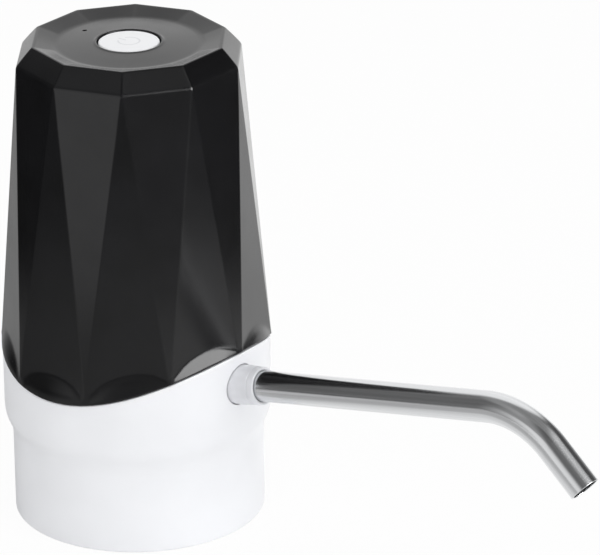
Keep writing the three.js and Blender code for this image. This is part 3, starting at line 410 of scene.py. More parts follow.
def button_white_abs():
    # White ABS cap: smooth, with a faint power sign pressed into it, which is a bar and an arc that is open
    # where the bar passes
    sign_radius, line_half, opening_slope = 2.7, 0.24, -0.55
    bar_middle, bar_half, sign_floor, sign_deep = -2.2, 1.25, 127.0, 0.02
    grain, grain_deep = 0.4, 0.0012
    made, tree, shader, place = surface("white_abs_button_cap", 0.32, ior=1.53)
    parts = add(tree, "ShaderNodeSeparateXYZ", links={"Vector": place}).outputs
    flat = add(tree, "ShaderNodeCombineXYZ", links={"X": parts["X"], "Y": parts["Y"]})
    reach = add(tree, "ShaderNodeVectorMath", {"operation": "LENGTH"}, {0: flat.outputs["Vector"]})
    found = {"x": parts["X"], "y": parts["Y"], "z": parts["Z"], "reach": reach.outputs["Value"]}
    for name, operation, *given in (
            ("ring", "COMPARE", "reach", sign_radius * MM, line_half * MM),
            ("side", "ABSOLUTE", "y"),
            ("opening", "MULTIPLY", "x", opening_slope),
            ("kept", "GREATER_THAN", "side", "opening"),
            ("arc", "MULTIPLY", "ring", "kept"),
            ("along", "COMPARE", "x", bar_middle * MM, bar_half * MM),
            ("across", "LESS_THAN", "side", line_half * MM),
            ("bar", "MULTIPLY", "along", "across"),
            ("sign", "MAXIMUM", "arc", "bar"),
            ("top", "GREATER_THAN", "z", sign_floor * MM),
            ("mark", "MULTIPLY", "sign", "top"),
            ("raised", "SUBTRACT", 1.0, "mark")):
        links = {index: found.get(item, item) for index, item in enumerate(given)}
        found[name] = add(tree, "ShaderNodeMath", {"operation": operation}, links).outputs[0]
    finish(tree, shader, found["mark"], "eeeff1", "dcdde0",
           (drift(tree, place, grain), grain_deep, 0.6), (found["raised"], sign_deep, 0.6))
    return made


def milky_collar():
    # Unfilled moulded nylon: a little see-through, so it looks greyer and softer than the housing
    cloud, grain, grain_deep, glow = 6, 0.4, 0.001, 0.8
    made, tree, shader, place = surface("milky_nylon_moulded", 0.34, ior=1.53)
    shader.inputs["Subsurface Weight"].default_value = 0.25
    shader.inputs["Subsurface Radius"].default_value = (1.0, 1.0, 1.0)
    shader.inputs["Subsurface Scale"].default_value = glow * MM
    finish(tree, shader, drift(tree, place, cloud), "d8d9dd", "e1e2e6",
           (drift(tree, place, grain), grain_deep, 0.6))
    return made


def drawn_stainless():
    # Stainless steel tube, drawn and polished lengthways: long fine lines that blur what it mirrors sideways.
    # The lines are drawn 0.3 mm wide, coarser than real, so that they show
    line_long, line_wide, line_deep = 60, 0.32, 0.003
    band_long, band_wide, band_deep = 90, 0.9, 0.02
    made, tree, shader, place = surface("drawn_polished_stainless", 0.18, metallic=1.0)
    along = add(tree, "ShaderNodeUVMap", {"uv_map": TUBE_MAP}).outputs["UV"]
    fields = []
    for long, wide in ((line_long, line_wide), (band_long, band_wide)):
        stretched = add(tree, "ShaderNodeVectorMath", {"operation": "MULTIPLY"}, {
            0: along, 1: (per(long), per(wide), 1.0)})
        noise = add(tree, "ShaderNodeTexNoise", links={
            "Vector": stretched.outputs["Vector"], "Scale": 1.0, "Detail": 1.0})
        fields.append(noise.outputs["Fac"])
    lines, bands = fields
    rough = add(tree, "ShaderNodeMapRange", links={
        "Value": lines, "From Min": NOISE_LOW, "From Max": NOISE_HIGH, "To Min": 0.13, "To Max": 0.22})
    tree.links.new(rough.outputs["Result"], shader.inputs["Roughness"])
    finish(tree, shader, bands, "c3c4c6", "dcddde", (bands, band_deep, 0.5), (lines, line_deep, 0.5))
    return made


def grey_silicone():
    # Grey silicone rubber, press moulded: soft, matt, with a bloom that varies from place to place
    bloom, grain, grain_deep = 5, 0.3, 0.004
    made, tree, shader, place = surface("grey_silicone_moulded", 0.55, ior=1.41)
    finish(tree, shader, drift(tree, place, bloom, 3.0), "868a8d", "989c9e",
           (drift(tree, place, grain, 3.0), grain_deep, 0.6))
    return made


def clear_silicone():
    # Clear silicone hose, extruded: milky and see-through
    cloud, grain, grain_deep = 3, 0.6, 0.003
    made, tree, shader, place = surface("clear_silicone_extruded", 0.35, ior=1.41)
    shader.inputs["Transmission Weight"].default_value = 0.6
    finish(tree, shader, drift(tree, place, cloud), "dde2e3", "ebefef",
           (drift(tree, place, grain), grain_deep, 0.5))
    return made


def zinc_plate(name, dark, light, roughness):
    # Steel with bright zinc: pale, with a faint cloud in the plating
    cloud, sheen, grain, grain_deep = 2.5, 1.2, 0.3, 0.002
    made, tree, shader, place = surface(name, roughness, metallic=1.0)
    rough = drift(tree, place, sheen, 4.0, roughness - 0.06, roughness + 0.08)
    tree.links.new(rough, shader.inputs["Roughness"])
    finish(tree, shader, drift(tree, place, cloud, 4.0), dark, light,
           (drift(tree, place, grain, 3.0), grain_deep, 0.4))
    return made


def solder_mask():
    # Glass-fibre board under green solder mask: copper runs stand out a little lighter below the lacquer
    run_long, run_pitch, gap, copper = 5.5, 1.3, 0.22, 0.03
    made, tree, shader, place = surface("green_solder_mask", 0.32, ior=1.5)
    runs = add(tree, "ShaderNodeTexBrick", {"offset": 0.5, "squash": 1.0}, {
        "Vector": place, "Scale": 1.0, "Mortar Size": gap * MM, "Brick Width": run_long * MM,
        "Row Height": run_pitch * MM}).outputs["Fac"]
    finish(tree, shader, runs, "174d2b", "23683c", (runs, copper, 0.5))
    return made


def dark_acetal():
    # Black acetal, moulded: matt with a fine spark-eroded grain
    cloud, grain, grain_deep = 4, 0.25, 0.008
    made, tree, shader, place = surface("black_acetal_moulded", 0.5, ior=1.48)
    finish(tree, shader, drift(tree, place, cloud), "1c1d1f", "27282b",
           (drift(tree, place, grain, 3.0), grain_deep, 0.7))
    return made


def natural_acetal():
    # Natural acetal, moulded: ivory, waxy, slightly cloudy
    cloud, grain, grain_deep = 5, 0.5, 0.003
    made, tree, shader, place = surface("natural_acetal_moulded", 0.4, ior=1.48)
    finish(tree, shader, drift(tree, place, cloud, 3.0), "e2dcc8", "eeead9",
           (drift(tree, place, grain), grain_deep, 0.5))
    return made


def shrink_sleeve():
    # Blue PVC shrink sleeve: glossy, with fine wrinkles round the cell
    cloud, wrinkle, wrinkle_deep, squash = 9, 6, 0.04, 4.0
    made, tree, shader, place = surface("blue_pvc_shrink_sleeve", 0.25, ior=1.54)
    squashed = add(tree, "ShaderNodeMapping", links={"Vector": place, "Scale": (1.0, 1.0, squash)})
    finish(tree, shader, drift(tree, place, cloud), "2a68a6", "3277b8",
           (drift(tree, squashed.outputs["Vector"], wrinkle, 3.0), wrinkle_deep, 0.5))
    return made


def vinyl(name, dark, light):
    # PVC insulation, extruded over copper: smooth with a dull shine
    cloud, grain, grain_deep = 4, 0.7, 0.004
    made, tree, shader, place = surface(name, 0.42, ior=1.54)
    finish(tree, shader, drift(tree, place, cloud), dark, light, (drift(tree, place, grain), grain_deep, 0.5))
    return made


def cast_epoxy():
    # Clear cast epoxy: the lamp's lens
    cloud, ripple, ripple_deep = 1.5, 0.8, 0.002
    made, tree, shader, place = surface("clear_cast_epoxy", 0.08, ior=1.55)
    shader.inputs["Transmission Weight"].default_value = 0.9
    finish(tree, shader, drift(tree, place, cloud), "dfe8f2", "edf3f9",
           (drift(tree, place, ripple), ripple_deep, 0.4))
    return made


FINISHES = {
    "upper_black": gloss_black_abs(),
    "lower_white": satin_white_abs(),
    "button_white": button_white_abs(),
    "collar_white": milky_collar(),
    "spout_steel": drawn_stainless(),
    "ground_steel": zinc_plate("ground_steel_rod", "b9b9b8", "cfcfce", 0.2),
    "plated_steel": zinc_plate("bright_zinc_plated_steel", "a9acae", "c6c8ca", 0.3),
    "motor_case": zinc_plate("zinc_plated_motor_can", "a2a5a7", "bdbfc1", 0.36),
    "battery_sleeve": shrink_sleeve(),
    "board_green": solder_mask(),
    "dark_plastic": dark_acetal(),
    "pump_plastic": natural_acetal(),
    "silicone_clear": clear_silicone(),
    "silicone_grey": grey_silicone(),
    "lead_grey": vinyl("grey_vinyl_insulation", "8f9294", "a3a6a8"),
    "lead_red": vinyl("red_vinyl_insulation", "981f1b", "b02c26"),
    "led_clear": cast_epoxy(),
}


def seam(azimuth):
    """Height of the seam: high at the spout and at the back, low at the sides."""
    return SEAM_Z + SEAM_SWING * math.cos(2 * azimuth)


def soft_min(a, b, width):
    """The smaller of two radii, with the corner between them rounded."""
    share = max(width - abs(a - b), 0.0) / width
    return min(a, b) - share * share * width / 4


def decagon(apothem, azimuth):
    """Radius of a ten-sided outline, its corners softened."""
    near = abs((azimuth + HALF) % STEP - HALF)
    return soft_min(apothem / math.cos(near), apothem / math.cos(STEP - near), CORNER_SOFT)


def facet_radius(azimuth, z):
    """Radius of the faceted casing: facets wide at the top, facets wide below, and the chamfer above them."""
    near = abs((azimuth + HALF) % STEP - HALF)
    fall = (CHAMFER_Z - z) / (CHAMFER_Z - SEAM_Z)
    wide = (CHAMFER_APOTHEM + (LOWER_RADIUS - CHAMFER_APOTHEM) * fall) / math.cos(near)
    tall = (CHAMFER_RADIUS + (LOWER_APOTHEM - CHAMFER_RADIUS) * fall) / math.cos(HALF - near)
    climb = (z - CHAMFER_Z) / (TOP - CHAMFER_Z)
    bulge = max(4 * CHAMFER_BULGE * climb * (1 - climb), 0.0)
    chamfer = decagon(CHAMFER_APOTHEM + (RIM_APOTHEM - CHAMFER_APOTHEM) * climb + bulge, azimuth)
    return soft_min(soft_min(wide, tall, RIDGE_SOFT), chamfer, CHAMFER_SOFT)


def band_radius(azimuth, z):
    """Radius of the smooth band, which curves in as it rises. A high seam hides more of its foot."""
    lowest = SEAM_Z - SEAM_SWING
    foot = seam(azimuth) - BAND_SINK_SHARE * (seam(azimuth) - lowest)
    rise = max(z - foot, 0.0)
    return LOWER_RADIUS - rise * rise / (2 * BAND_ROUND)


def outer_radius(azimuth, z):
    """Radius of the casing's outside: the facets, and the band where it stands out from them."""
    union = -soft_min(-facet_radius(azimuth, z), -band_radius(azimuth, z), BAND_SOFT)
    return min(union, LOWER_RADIUS)


def tall_half_angle(z):
    """Half the angle that a facet takes that is narrow at the top: its two ridges are straight lines."""
    fall = (CHAMFER_Z - z) / (CHAMFER_Z - SEAM_Z)
    out = CHAMFER_RADIUS + (LOWER_APOTHEM - CHAMFER_RADIUS) * fall
    across = LOWER_RADIUS * math.sin(HALF) * fall
    return min(max(math.atan2(across, out), NARROWEST), HALF - NARROWEST)


def column_azimuth(column, z):
    """Azimuth of one column of the mesh at a height. The columns keep to the ridges."""
    middle, side, index, tall = column
    half = tall_half_angle(z) if tall else HALF - tall_half_angle(z)
    reach = half * MEAN_RADIUS
    squeeze = min(1.0, reach / (RIDGE_ROOM_SHARE * RIDGE_OFFSETS[-1]))
    last = RIDGE_OFFSETS[-1] * squeeze
    if index < len(RIDGE_OFFSETS):
        inward = RIDGE_OFFSETS[index] * squeeze
    else:
        inward = last + (reach - last) * INWARD_SHARES[index - len(RIDGE_OFFSETS)]
    return middle + side * (half - inward / MEAN_RADIUS)


def casing_columns():
    """All columns in turn: a facet wide below with both its ridges, then one wide at the top without."""
    middle_index = len(RIDGE_OFFSETS) + len(INWARD_SHARES) - 1
    columns = []
    for k in range(10):
        tall = HALF + k * STEP
        columns += [(tall, -1, i, True) for i in range(middle_index + 1)]
        columns += [(tall, 1, i, True) for i in range(middle_index - 1, -1, -1)]
        wide = tall + HALF
        columns += [(wide, -1, i, False) for i in range(1, middle_index + 1)]
        columns += [(wide, 1, i, False) for i in range(middle_index - 1, 0, -1)]
    return columns


def rounded(corners, closed=False):
    """An outline through corners given as (across, along, rounding), each turned into a small curve."""
    count = len(corners)
    outline = []
    for i, (x, y, size) in enumerate(corners):
        if not closed and i in (0, count - 1) or size == 0:
            outline.append((x, y))
            continue
        here = Vector((x, y))
        back = Vector(corners[i - 1][:2]) - here
        ahead = Vector(corners[(i + 1) % count][:2]) - here
        start = here + back.normalized() * min(size, ROUNDING_MOST_SHARE * back.length)
        end = here + ahead.normalized() * min(size, ROUNDING_MOST_SHARE * ahead.length)
        for t in ROUNDING_SHARES:
            spot = start * (1 - t) ** 2 + here * 2 * t * (1 - t) + end * t * t
            outline.append((spot.x, spot.y))
    return outline


def facet_end(column):
    """Height at which a column passes from its facet onto the band."""
    z = SEARCH_TOP
    while z > SEARCH_BOTTOM:
        azimuth = column_azimuth(column, z)
        if z < seam(azimuth) + BAND_LEAST or band_radius(azimuth, z) >= facet_radius(azimuth, z):
            return z
        z -= SEARCH_STEP
    return z


def casing_outline(column):
    """One closed outline of the casing: over the dish and the rim, down to the seam and back inside."""
    azimuth = column_azimuth(column, TOP)
    corners = [(DISH[0][0], TOP_INSIDE, 0)] + [(r, TOP - depth, size) for r, depth, size in DISH]
    corners += [(decagon(apothem, azimuth), TOP, size) for apothem, size in RIM_EDGES]
    corners += [(facet_radius(azimuth, TOP - drop), TOP - drop, 0) for drop in RIM_DROPS]
    points = [(azimuth, r, z) for r, z in rounded(corners)]
    heights = [CHAMFER_Z + offset for offset in CHAMFER_ROWS]
    end = facet_end(column)
    low = seam(column_azimuth(column, SEAM_Z)) + SEAM_GAP
    top = heights[-1]
    heights += [top + (end + BOUNDARY_ABOVE[0] - top) * i / FACET_ROWS for i in range(1, FACET_ROWS)]
    heights += [end + offset for offset in BOUNDARY_ABOVE]
    squeeze = min(1.0, (end - low - FOOT_EDGE) / (BAND_ROOM - BOUNDARY_BELOW[-1]))
    heights += [end + offset * squeeze for offset in BOUNDARY_BELOW]
    last = heights[-1]
    heights += [last + (low + FOOT_EDGE - last) * i / BAND_ROWS for i in range(1, BAND_ROWS + 1)]
    for z in heights:
        azimuth = column_azimuth(column, z)
        points.append((azimuth, outer_radius(azimuth, z), z))
    azimuth, r, z = points[-1]
    points += [(azimuth, r - inwards, low + up) for inwards, up in FOOT_CORNERS]
    for z in (low, low + INSIDE_LIFT, *INSIDE_ROWS, TOP_INSIDE - INSIDE_ROUND):
        azimuth = column_azimuth(column, z)
        points.append((azimuth, facet_radius(azimuth, z) - WALL, z))
    azimuth, r, z = points[-1]
    points.append((azimuth, r - INSIDE_ROUND, TOP_INSIDE))
    return [Vector((r * math.cos(a), r * math.sin(a), z)) * MM for a, r, z in points]


def new_piece(name, points, faces, slot, body="base"):
    """A mesh object of its own. It gets its finish here and its body at the end."""
    mesh = bpy.data.meshes.new(name)
    mesh.from_pydata([tuple(p) for p in points], [], faces)
    mesh.materials.append(FINISHES[slot])
    piece = bpy.data.objects.new(name, mesh)
    bpy.context.scene.collection.objects.link(piece)
    piece["finish_slot"] = slot
    piece["rides_on"] = body
    return piece


def mend(mesh, merge=True):
    """Merges the points of a mesh that touch and turns its faces outwards."""
    work = bmesh.new()
    work.from_mesh(mesh)
    if merge:
        bmesh.ops.remove_doubles(work, verts=work.verts, dist=TOUCHING)
        bmesh.ops.dissolve_degenerate(work, dist=TOUCHING, edges=work.edges)
    bmesh.ops.recalc_face_normals(work, faces=work.faces)
    work.to_mesh(mesh)
    work.free()


def tidy(piece, angle=48):
    """Mends a piece, smooths all but its sharp edges and leaves it one finish."""
    mesh = piece.data
    mesh.materials.clear()
    mesh.materials.append(FINISHES[piece["finish_slot"]])
    mend(mesh)
    mesh.shade_smooth()
    mesh.set_sharp_from_angle(angle=math.radians(angle))
    weigh = piece.modifiers.new("weigh", "WEIGHTED_NORMAL")
    weigh.keep_sharp = True
    settle(piece)
    return piece


def settle(piece):
    """Turns the piece with its modifiers into a plain mesh."""
    ready = piece.evaluated_get(bpy.context.evaluated_depsgraph_get())
    mesh = bpy.data.meshes.new_from_object(ready)
    piece.modifiers.clear()
    piece.data = mesh


def boolean(piece, tool, operation="DIFFERENCE"):
    """Cuts a tool out of a piece or joins it on, and removes the tool."""
    change = piece.modifiers.new("change", "BOOLEAN")
    change.operation = operation
    change.solver = "EXACT"
    change.object = tool
    settle(piece)
    bpy.data.objects.remove(tool)


def grid(name, columns, slot, body="base"):
    """A piece from columns of points: each column is a closed outline, and the columns go all round."""
    rows = len(columns[0])
    count = len(columns)
    points = [p for column in columns for p in column]
    faces = []
    for c in range(count):
        n = (c + 1) % count
        for r in range(rows):
            m = (r + 1) % rows
            faces.append((c * rows + r, n * rows + r, n * rows + m, c * rows + m))
    return new_piece(name, points, faces, slot, body)


def spout_centre(along):
    """Point of the spout's centre line, and its direction there."""
    bend = min(max(along - SPOUT_STRAIGHT, 0.0), ARC) / SPOUT_BEND
    tail = max(along - SPOUT_STRAIGHT - ARC, 0.0)
    x = min(along, SPOUT_STRAIGHT) + SPOUT_BEND * math.sin(bend) + tail * math.cos(bend)
    z = -SPOUT_BEND * (1 - math.cos(bend)) - tail * math.sin(bend)
    turn = Matrix.Rotation(-SPOUT_TILT, 3, "Y")
    centre = turn @ Vector((x, 0, z)) + Vector((0, 0, SPOUT_Z))
    return centre, turn @ Vector((math.cos(bend), 0, -math.sin(bend)))


def on_spout(radius, along, angle):
    """A point round the spout's centre line."""
    centre, direction = spout_centre(along)
    side = Vector((0, 1, 0))
    up = direction.cross(side)
    return (centre + radius * (math.sin(angle) * side - math.cos(angle) * up)) * MM


def on_axis(radius, height, angle):
    """A point round the body's upright axis."""
    return Vector((radius * math.cos(angle), radius * math.sin(angle), height)) * MM


def turned(name, outline, slot, sides, place=on_axis, body="base"):
    """A round piece from a closed outline of (radius, height)."""
    columns = [[place(r, z, TURN * k / sides) for r, z in outline] for k in range(sides)]
    return grid(name, columns, slot, body)


def rod(name, radius, bottom, top, place=on_axis, sides=48):
    """A plain round solid to cut or join with."""
    outline = [(0.0, bottom), (radius, bottom), (radius, top), (0.0, top)]
    piece = turned(name, outline, "dark_plastic", sides, place)
    mend(piece.data)
    return piece


def beside(x, y):
    """Places of a round piece whose axis is upright at a point of the deck."""
    return lambda radius, height, angle: on_axis(radius, height, angle) + Vector((x, y, 0)) * MM


def joined(name, pieces):
    """Several separate closed pieces as one object."""
    work = bmesh.new()
    for piece in pieces:
        work.from_mesh(piece.data)
        bpy.data.objects.remove(piece)
    mesh = bpy.data.meshes.new(name)
    work.to_mesh(mesh)
    work.free()
    made = bpy.data.objects.new(name, mesh)
    bpy.context.scene.collection.objects.link(made)
    return made


def obround(width, tall, steps=8):
    """Corners of a flat outline with round ends, across and up."""
    radius = tall / 2
    straight = width / 2 - radius
    outline = []
    for side, start in ((1, -90), (-1, 90)):
        for k in range(steps + 1):
            angle = math.radians(start + 180 * k / steps)
            outline.append((side * straight + radius * math.cos(angle), radius * math.sin(angle)))
    return outline


def socket_block(name, width, tall, ends, steps=8):
    """A solid with round sides that runs along X at the charging socket."""
    outline = obround(width, tall, steps)
    count = len(outline)
    points = [Vector((x, y, SOCKET_Z + z)) * MM for x in ends for y, z in outline]
    faces = [tuple(range(count)), tuple(range(2 * count - 1, count - 1, -1))]
    faces += [(k, (k + 1) % count, count + (k + 1) % count, count + k) for k in range(count)]
    piece = new_piece(name, points, faces, "dark_plastic")
    mend(piece.data, merge=False)
    return piece


def rods(name, radius, bottom, top, places):
    """Upright rods at several places of the deck, as one tool."""
    return joined(name, [rod(f"{name}_{k}", radius, bottom, top, beside(*p)) for k, p in enumerate(places)])


def make_upper_housing():
    piece = grid("faceted_casing", [casing_outline(column) for column in casing_columns()], "upper_black")
    mend(piece.data, merge=False)
    boolean(piece, rod("pinhole", PINHOLE_RADIUS, *PINHOLE_CUT, beside(PINHOLE_X, 0), 32))
    tidy(piece)
    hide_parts("upper_housing")


def make_lower_housing():
    sides = 240

    def outline(azimuth):
        top = seam(azimuth)
        step = BELT_INNER - TONGUE_INNER
        return rounded([
            (INLET_HOLE, DECK_BOTTOM, HOLE_ROUND), (SKIRT_INNER, DECK_BOTTOM, DECK_ROUND),
            (SKIRT_INNER, 0.0, RIM_INNER_ROUND), (SKIRT_RADIUS, 0.0, RIM_OUTER_ROUND),
            (SKIRT_RADIUS, SHOULDER_LOW, SHOULDER_ROUND), (BELT_RADIUS, SHOULDER_HIGH, SHOULDER_ROUND),
            (BELT_RADIUS, top, SEAM_ROUND), (TONGUE_OUTER, top, 0.0),
            (TONGUE_OUTER, top + TONGUE_REACH, TONGUE_ROUND),
            (TONGUE_INNER, top + TONGUE_REACH, TONGUE_ROUND), (TONGUE_INNER, top - TONGUE_REACH, 0.0),
            (BELT_INNER, top - TONGUE_REACH - step, BELT_INNER_ROUND),
            (BELT_INNER, DECK_TOP, BELT_INNER_ROUND), (INLET_HOLE, DECK_TOP, HOLE_ROUND)], closed=True)

    turns = [TURN * k / sides for k in range(sides)]
    columns = [[on_axis(r, z, azimuth) for r, z in outline(azimuth)] for azimuth in turns]
    piece = grid("skirt_and_belt", columns, "lower_white")
    mend(piece.data, merge=False)
    stands = rods("stands", PEDESTAL_RADIUS, DECK_MIDDLE, PEDESTAL_TOP, POST_PLACES)
    bosses = rods("bosses", BOSS_RADIUS, BOSS_BOTTOM, DECK_MIDDLE, BOSS_PLACES)
    boolean(piece, joined("added", [stands, bosses]), "UNION")
    boolean(piece, rods("wells", WELL_RADIUS, CUT_BOTTOM, SCREW_SEAT, POST_PLACES))
    boolean(piece, rods("holes", HOLE_RADIUS, CUT_BOTTOM, CUT_TOP, POST_PLACES))
    boolean(piece, rod("collar_hole", COLLAR_HOLE_RADIUS, *COLLAR_HOLE_CUT, on_spout, 96))
    for name, clearance, ends in (
            ("mouth", MOUTH_CLEARANCE, MOUTH_CUT), ("recess", RECESS_CLEARANCE, RECESS_CUT)):
        boolean(piece, socket_block(name, SOCKET_WIDTH + clearance, SOCKET_TALL + clearance, ends))
    tidy(piece, 40)
    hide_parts("lower_housing")


def make_button():
    piece = tidy(turned("button_cap", rounded(BUTTON_CORNERS), "button_white", 160, body="button"))
    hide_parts("power_button")


def make_spout(tree):
    steps, bend_steps = 6, 40
    straight = [SPOUT_START + (SPOUT_STRAIGHT - SPOUT_START) * k / steps for k in range(steps)]
    bend = [SPOUT_STRAIGHT + ARC * k / bend_steps for k in range(bend_steps + 1)]
    route = [spout_centre(s)[0] for s in straight + bend + [SPOUT_END]]
    piece = grown("bent_spout", tree, route, chain(len(route)), "spout_steel", {
        "Radius": SPOUT_RADIUS * MM, "Sides": 96, "Closed Ends": False}, "spout")
    wall = piece.modifiers.new("wall", "SOLIDIFY")
    wall.thickness = (SPOUT_RADIUS - SPOUT_BORE) * MM
    wall.offset = -1.0
    edge = piece.modifiers.new("edge", "BEVEL")
    edge.width = SPOUT_EDGE * MM
    edge.segments = 3
    edge.angle_limit = math.radians(60)
    settle(piece)
    tidy(piece, 60)
    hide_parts("spout_tube")


def make_collar():
    outline = rounded(COLLAR_CORNERS, closed=True)
    piece = tidy(turned("spout_socket", outline, "collar_white", 96, on_spout))
    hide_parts("spout_collar")


def make_grip():
    ends = ((GRIP_INNER, GRIP_BOTTOM), (GRIP_OUTER, GRIP_BOTTOM),
            (GRIP_OUTER, GRIP_TOP), (GRIP_INNER, GRIP_TOP))
    corners = [(radius, z, GRIP_EDGE) for radius, z in ends]
    for middle in RIB_HEIGHTS:
        corners += [(GRIP_INNER, middle + RIB_HALF, RIB_FOOT_ROUND), (RIB_RADIUS, middle, RIB_TOP_ROUND),
                    (GRIP_INNER, middle - RIB_HALF, RIB_FOOT_ROUND)]
    piece = tidy(turned("bottle_grip", rounded(corners, closed=True), "silicone_grey", 160))
    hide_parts("neck_grip")


def make_nozzle():
    corners = [(NOZZLE_BORE, NOZZLE_BOTTOM, NOZZLE_INNER_EDGE),
               (NOZZLE_RADIUS, NOZZLE_BOTTOM, NOZZLE_OUTER_EDGE)]
    for k in range(BARB_COUNT):
        start = BARB_START + k * BARB_PITCH
        corners += [(NOZZLE_RADIUS, start + BARB_FOOT, 0),
                    (BARB_RADIUS, start + BARB_PITCH * BARB_TOP_SHARE, BARB_TOP_ROUND),
                    (NOZZLE_RADIUS, start + BARB_PITCH * BARB_END_SHARE, BARB_END_ROUND)]
    corners += [(NOZZLE_RADIUS, NOZZLE_TOP, 0), (NOZZLE_BORE, NOZZLE_TOP, 0)]
    tidy(turned("hose_nozzle", rounded(corners, closed=True), "pump_plastic", 64))


def make_socket():
    """Charging socket: an obround steel shell, and the plate of its contacts."""
    outer = obround(SOCKET_WIDTH, SOCKET_TALL)
    inner = obround(SOCKET_WIDTH - SOCKET_WALLS, SOCKET_TALL - SOCKET_WALLS)
    loops = [(outer, SOCKET_BACK), (outer, SOCKET_FRONT), (inner, SOCKET_FRONT), (inner, SOCKET_FLOOR)]
    count = len(outer)
    points = [Vector((x, y, SOCKET_Z + z)) * MM for outline, x in loops for y, z in outline]
    faces = []
    for k in range(len(loops) - 1):
        for i in range(count):
            j = (i + 1) % count
            faces.append((k * count + i, k * count + j, (k + 1) * count + j, (k + 1) * count + i))
    faces.append(tuple(range(count)))
    faces.append(tuple(range(3 * count, 4 * count))[::-1])
    shell = tidy(new_piece("charging_socket", points, faces, "plated_steel"))
    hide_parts("usb_socket")
    ends = (SOCKET_FLOOR - PLATE_OFF_FLOOR, SOCKET_FRONT + PLATE_SET_BACK)
    tidy(socket_block("socket_tongue", SOCKET_WIDTH - PLATE_NARROWER, PLATE_TALL, ends, 4))


def new_tree(name, *inputs):
    """A tree for meshes or curves with named inputs, the finish last, and what these inputs give."""
    tree = bpy.data.node_groups.new(name, "GeometryNodeTree")
    for label, kind in (("Geometry", "Geometry"), *inputs, ("Finish", "Material")):
        tree.interface.new_socket(label, in_out="INPUT", socket_type="NodeSocket" + kind)
    tree.interface.new_socket("Geometry", in_out="OUTPUT", socket_type="NodeSocketGeometry")
    return tree, add(tree, "NodeGroupInput").outputs


def end_tree(tree, shape, given):
    """The end of a tree: real meshes in their finish."""
    real = add(tree, "GeometryNodeRealizeInstances", links={"Geometry": shape})
    dressed = add(tree, "GeometryNodeSetMaterial", links={
        "Geometry": real.outputs["Geometry"], "Material": given["Finish"]})
    add(tree, "NodeGroupOutput", links={"Geometry": dressed.outputs["Geometry"]})
    return tree


def screw_tree():
    """Cross-recess pan-head screws on the points of the mesh, head up, seat at the point."""
    tree, given = new_tree(
        "pan_head_screws", ("Head Radius", "Float"), ("Head Height", "Float"), ("Shank Radius", "Float"),
        ("Reach", "Float"), ("Recess Width", "Float"), ("Turn", "Vector"))
    sizes = {}
    for name, whole, share in (
            ("edge height", "Head Height", 0.5), ("edge middle", "Head Height", 0.25),
            ("crown foot", "Head Radius", 0.998), ("crown top", "Head Radius", 0.7),
            ("crown height", "Head Height", 0.55), ("crown start", "Head Height", 0.45),
            ("shank middle", "Reach", -0.48), ("recess length", "Head Radius", 1.15),
            ("recess middle", "Head Height", 0.98)):
        part = add(tree, "ShaderNodeMath", {"operation": "MULTIPLY"}, {0: given[whole], 1: share})
        sizes[name] = part.outputs[0]
    edge = add(tree, "GeometryNodeMeshCylinder", links={
        "Vertices": 40, "Radius": given["Head Radius"], "Depth": sizes["edge height"]}).outputs["Mesh"]
    crown = add(tree, "GeometryNodeMeshCone", links={
        "Vertices": 40, "Radius Bottom": sizes["crown foot"], "Radius Top": sizes["crown top"],
        "Depth": sizes["crown height"]}).outputs["Mesh"]
    shank = add(tree, "GeometryNodeMeshCylinder", links={
        "Vertices": 24, "Radius": given["Shank Radius"], "Depth": given["Reach"]}).outputs["Mesh"]
    whole = add(tree, "GeometryNodeMeshBoolean", {"operation": "UNION", "solver": "EXACT"})
    recessed = add(tree, "GeometryNodeMeshBoolean", {"operation": "DIFFERENCE", "solver": "EXACT"}, {
        "Mesh 1": whole.outputs["Mesh"]})
    placed = [(edge, sizes["edge middle"], whole), (crown, sizes["crown start"], whole),
              (shank, sizes["shank middle"], whole)]
    across, along = given["Recess Width"], sizes["recess length"]
    for wide, long in ((across, along), (along, across)):
        size = add(tree, "ShaderNodeCombineXYZ", links={
            "X": wide, "Y": long, "Z": given["Head Height"]}).outputs[0]
        arm = add(tree, "GeometryNodeMeshCube", links={"Size": size}).outputs["Mesh"]
        placed.append((arm, sizes["recess middle"], recessed))
    for mesh, height, joint in placed:
        shift = add(tree, "ShaderNodeCombineXYZ", links={"Z": height}).outputs[0]
        moved = add(tree, "GeometryNodeTransform", links={"Geometry": mesh, "Translation": shift})
        tree.links.new(moved.outputs["Geometry"], joint.inputs["Mesh 2"])
    spread = add(tree, "GeometryNodeInstanceOnPoints", links={
        "Points": given["Geometry"], "Instance": recessed.outputs["Mesh"], "Rotation": given["Turn"]})
    return end_tree(tree, spread.outputs["Instances"], given)


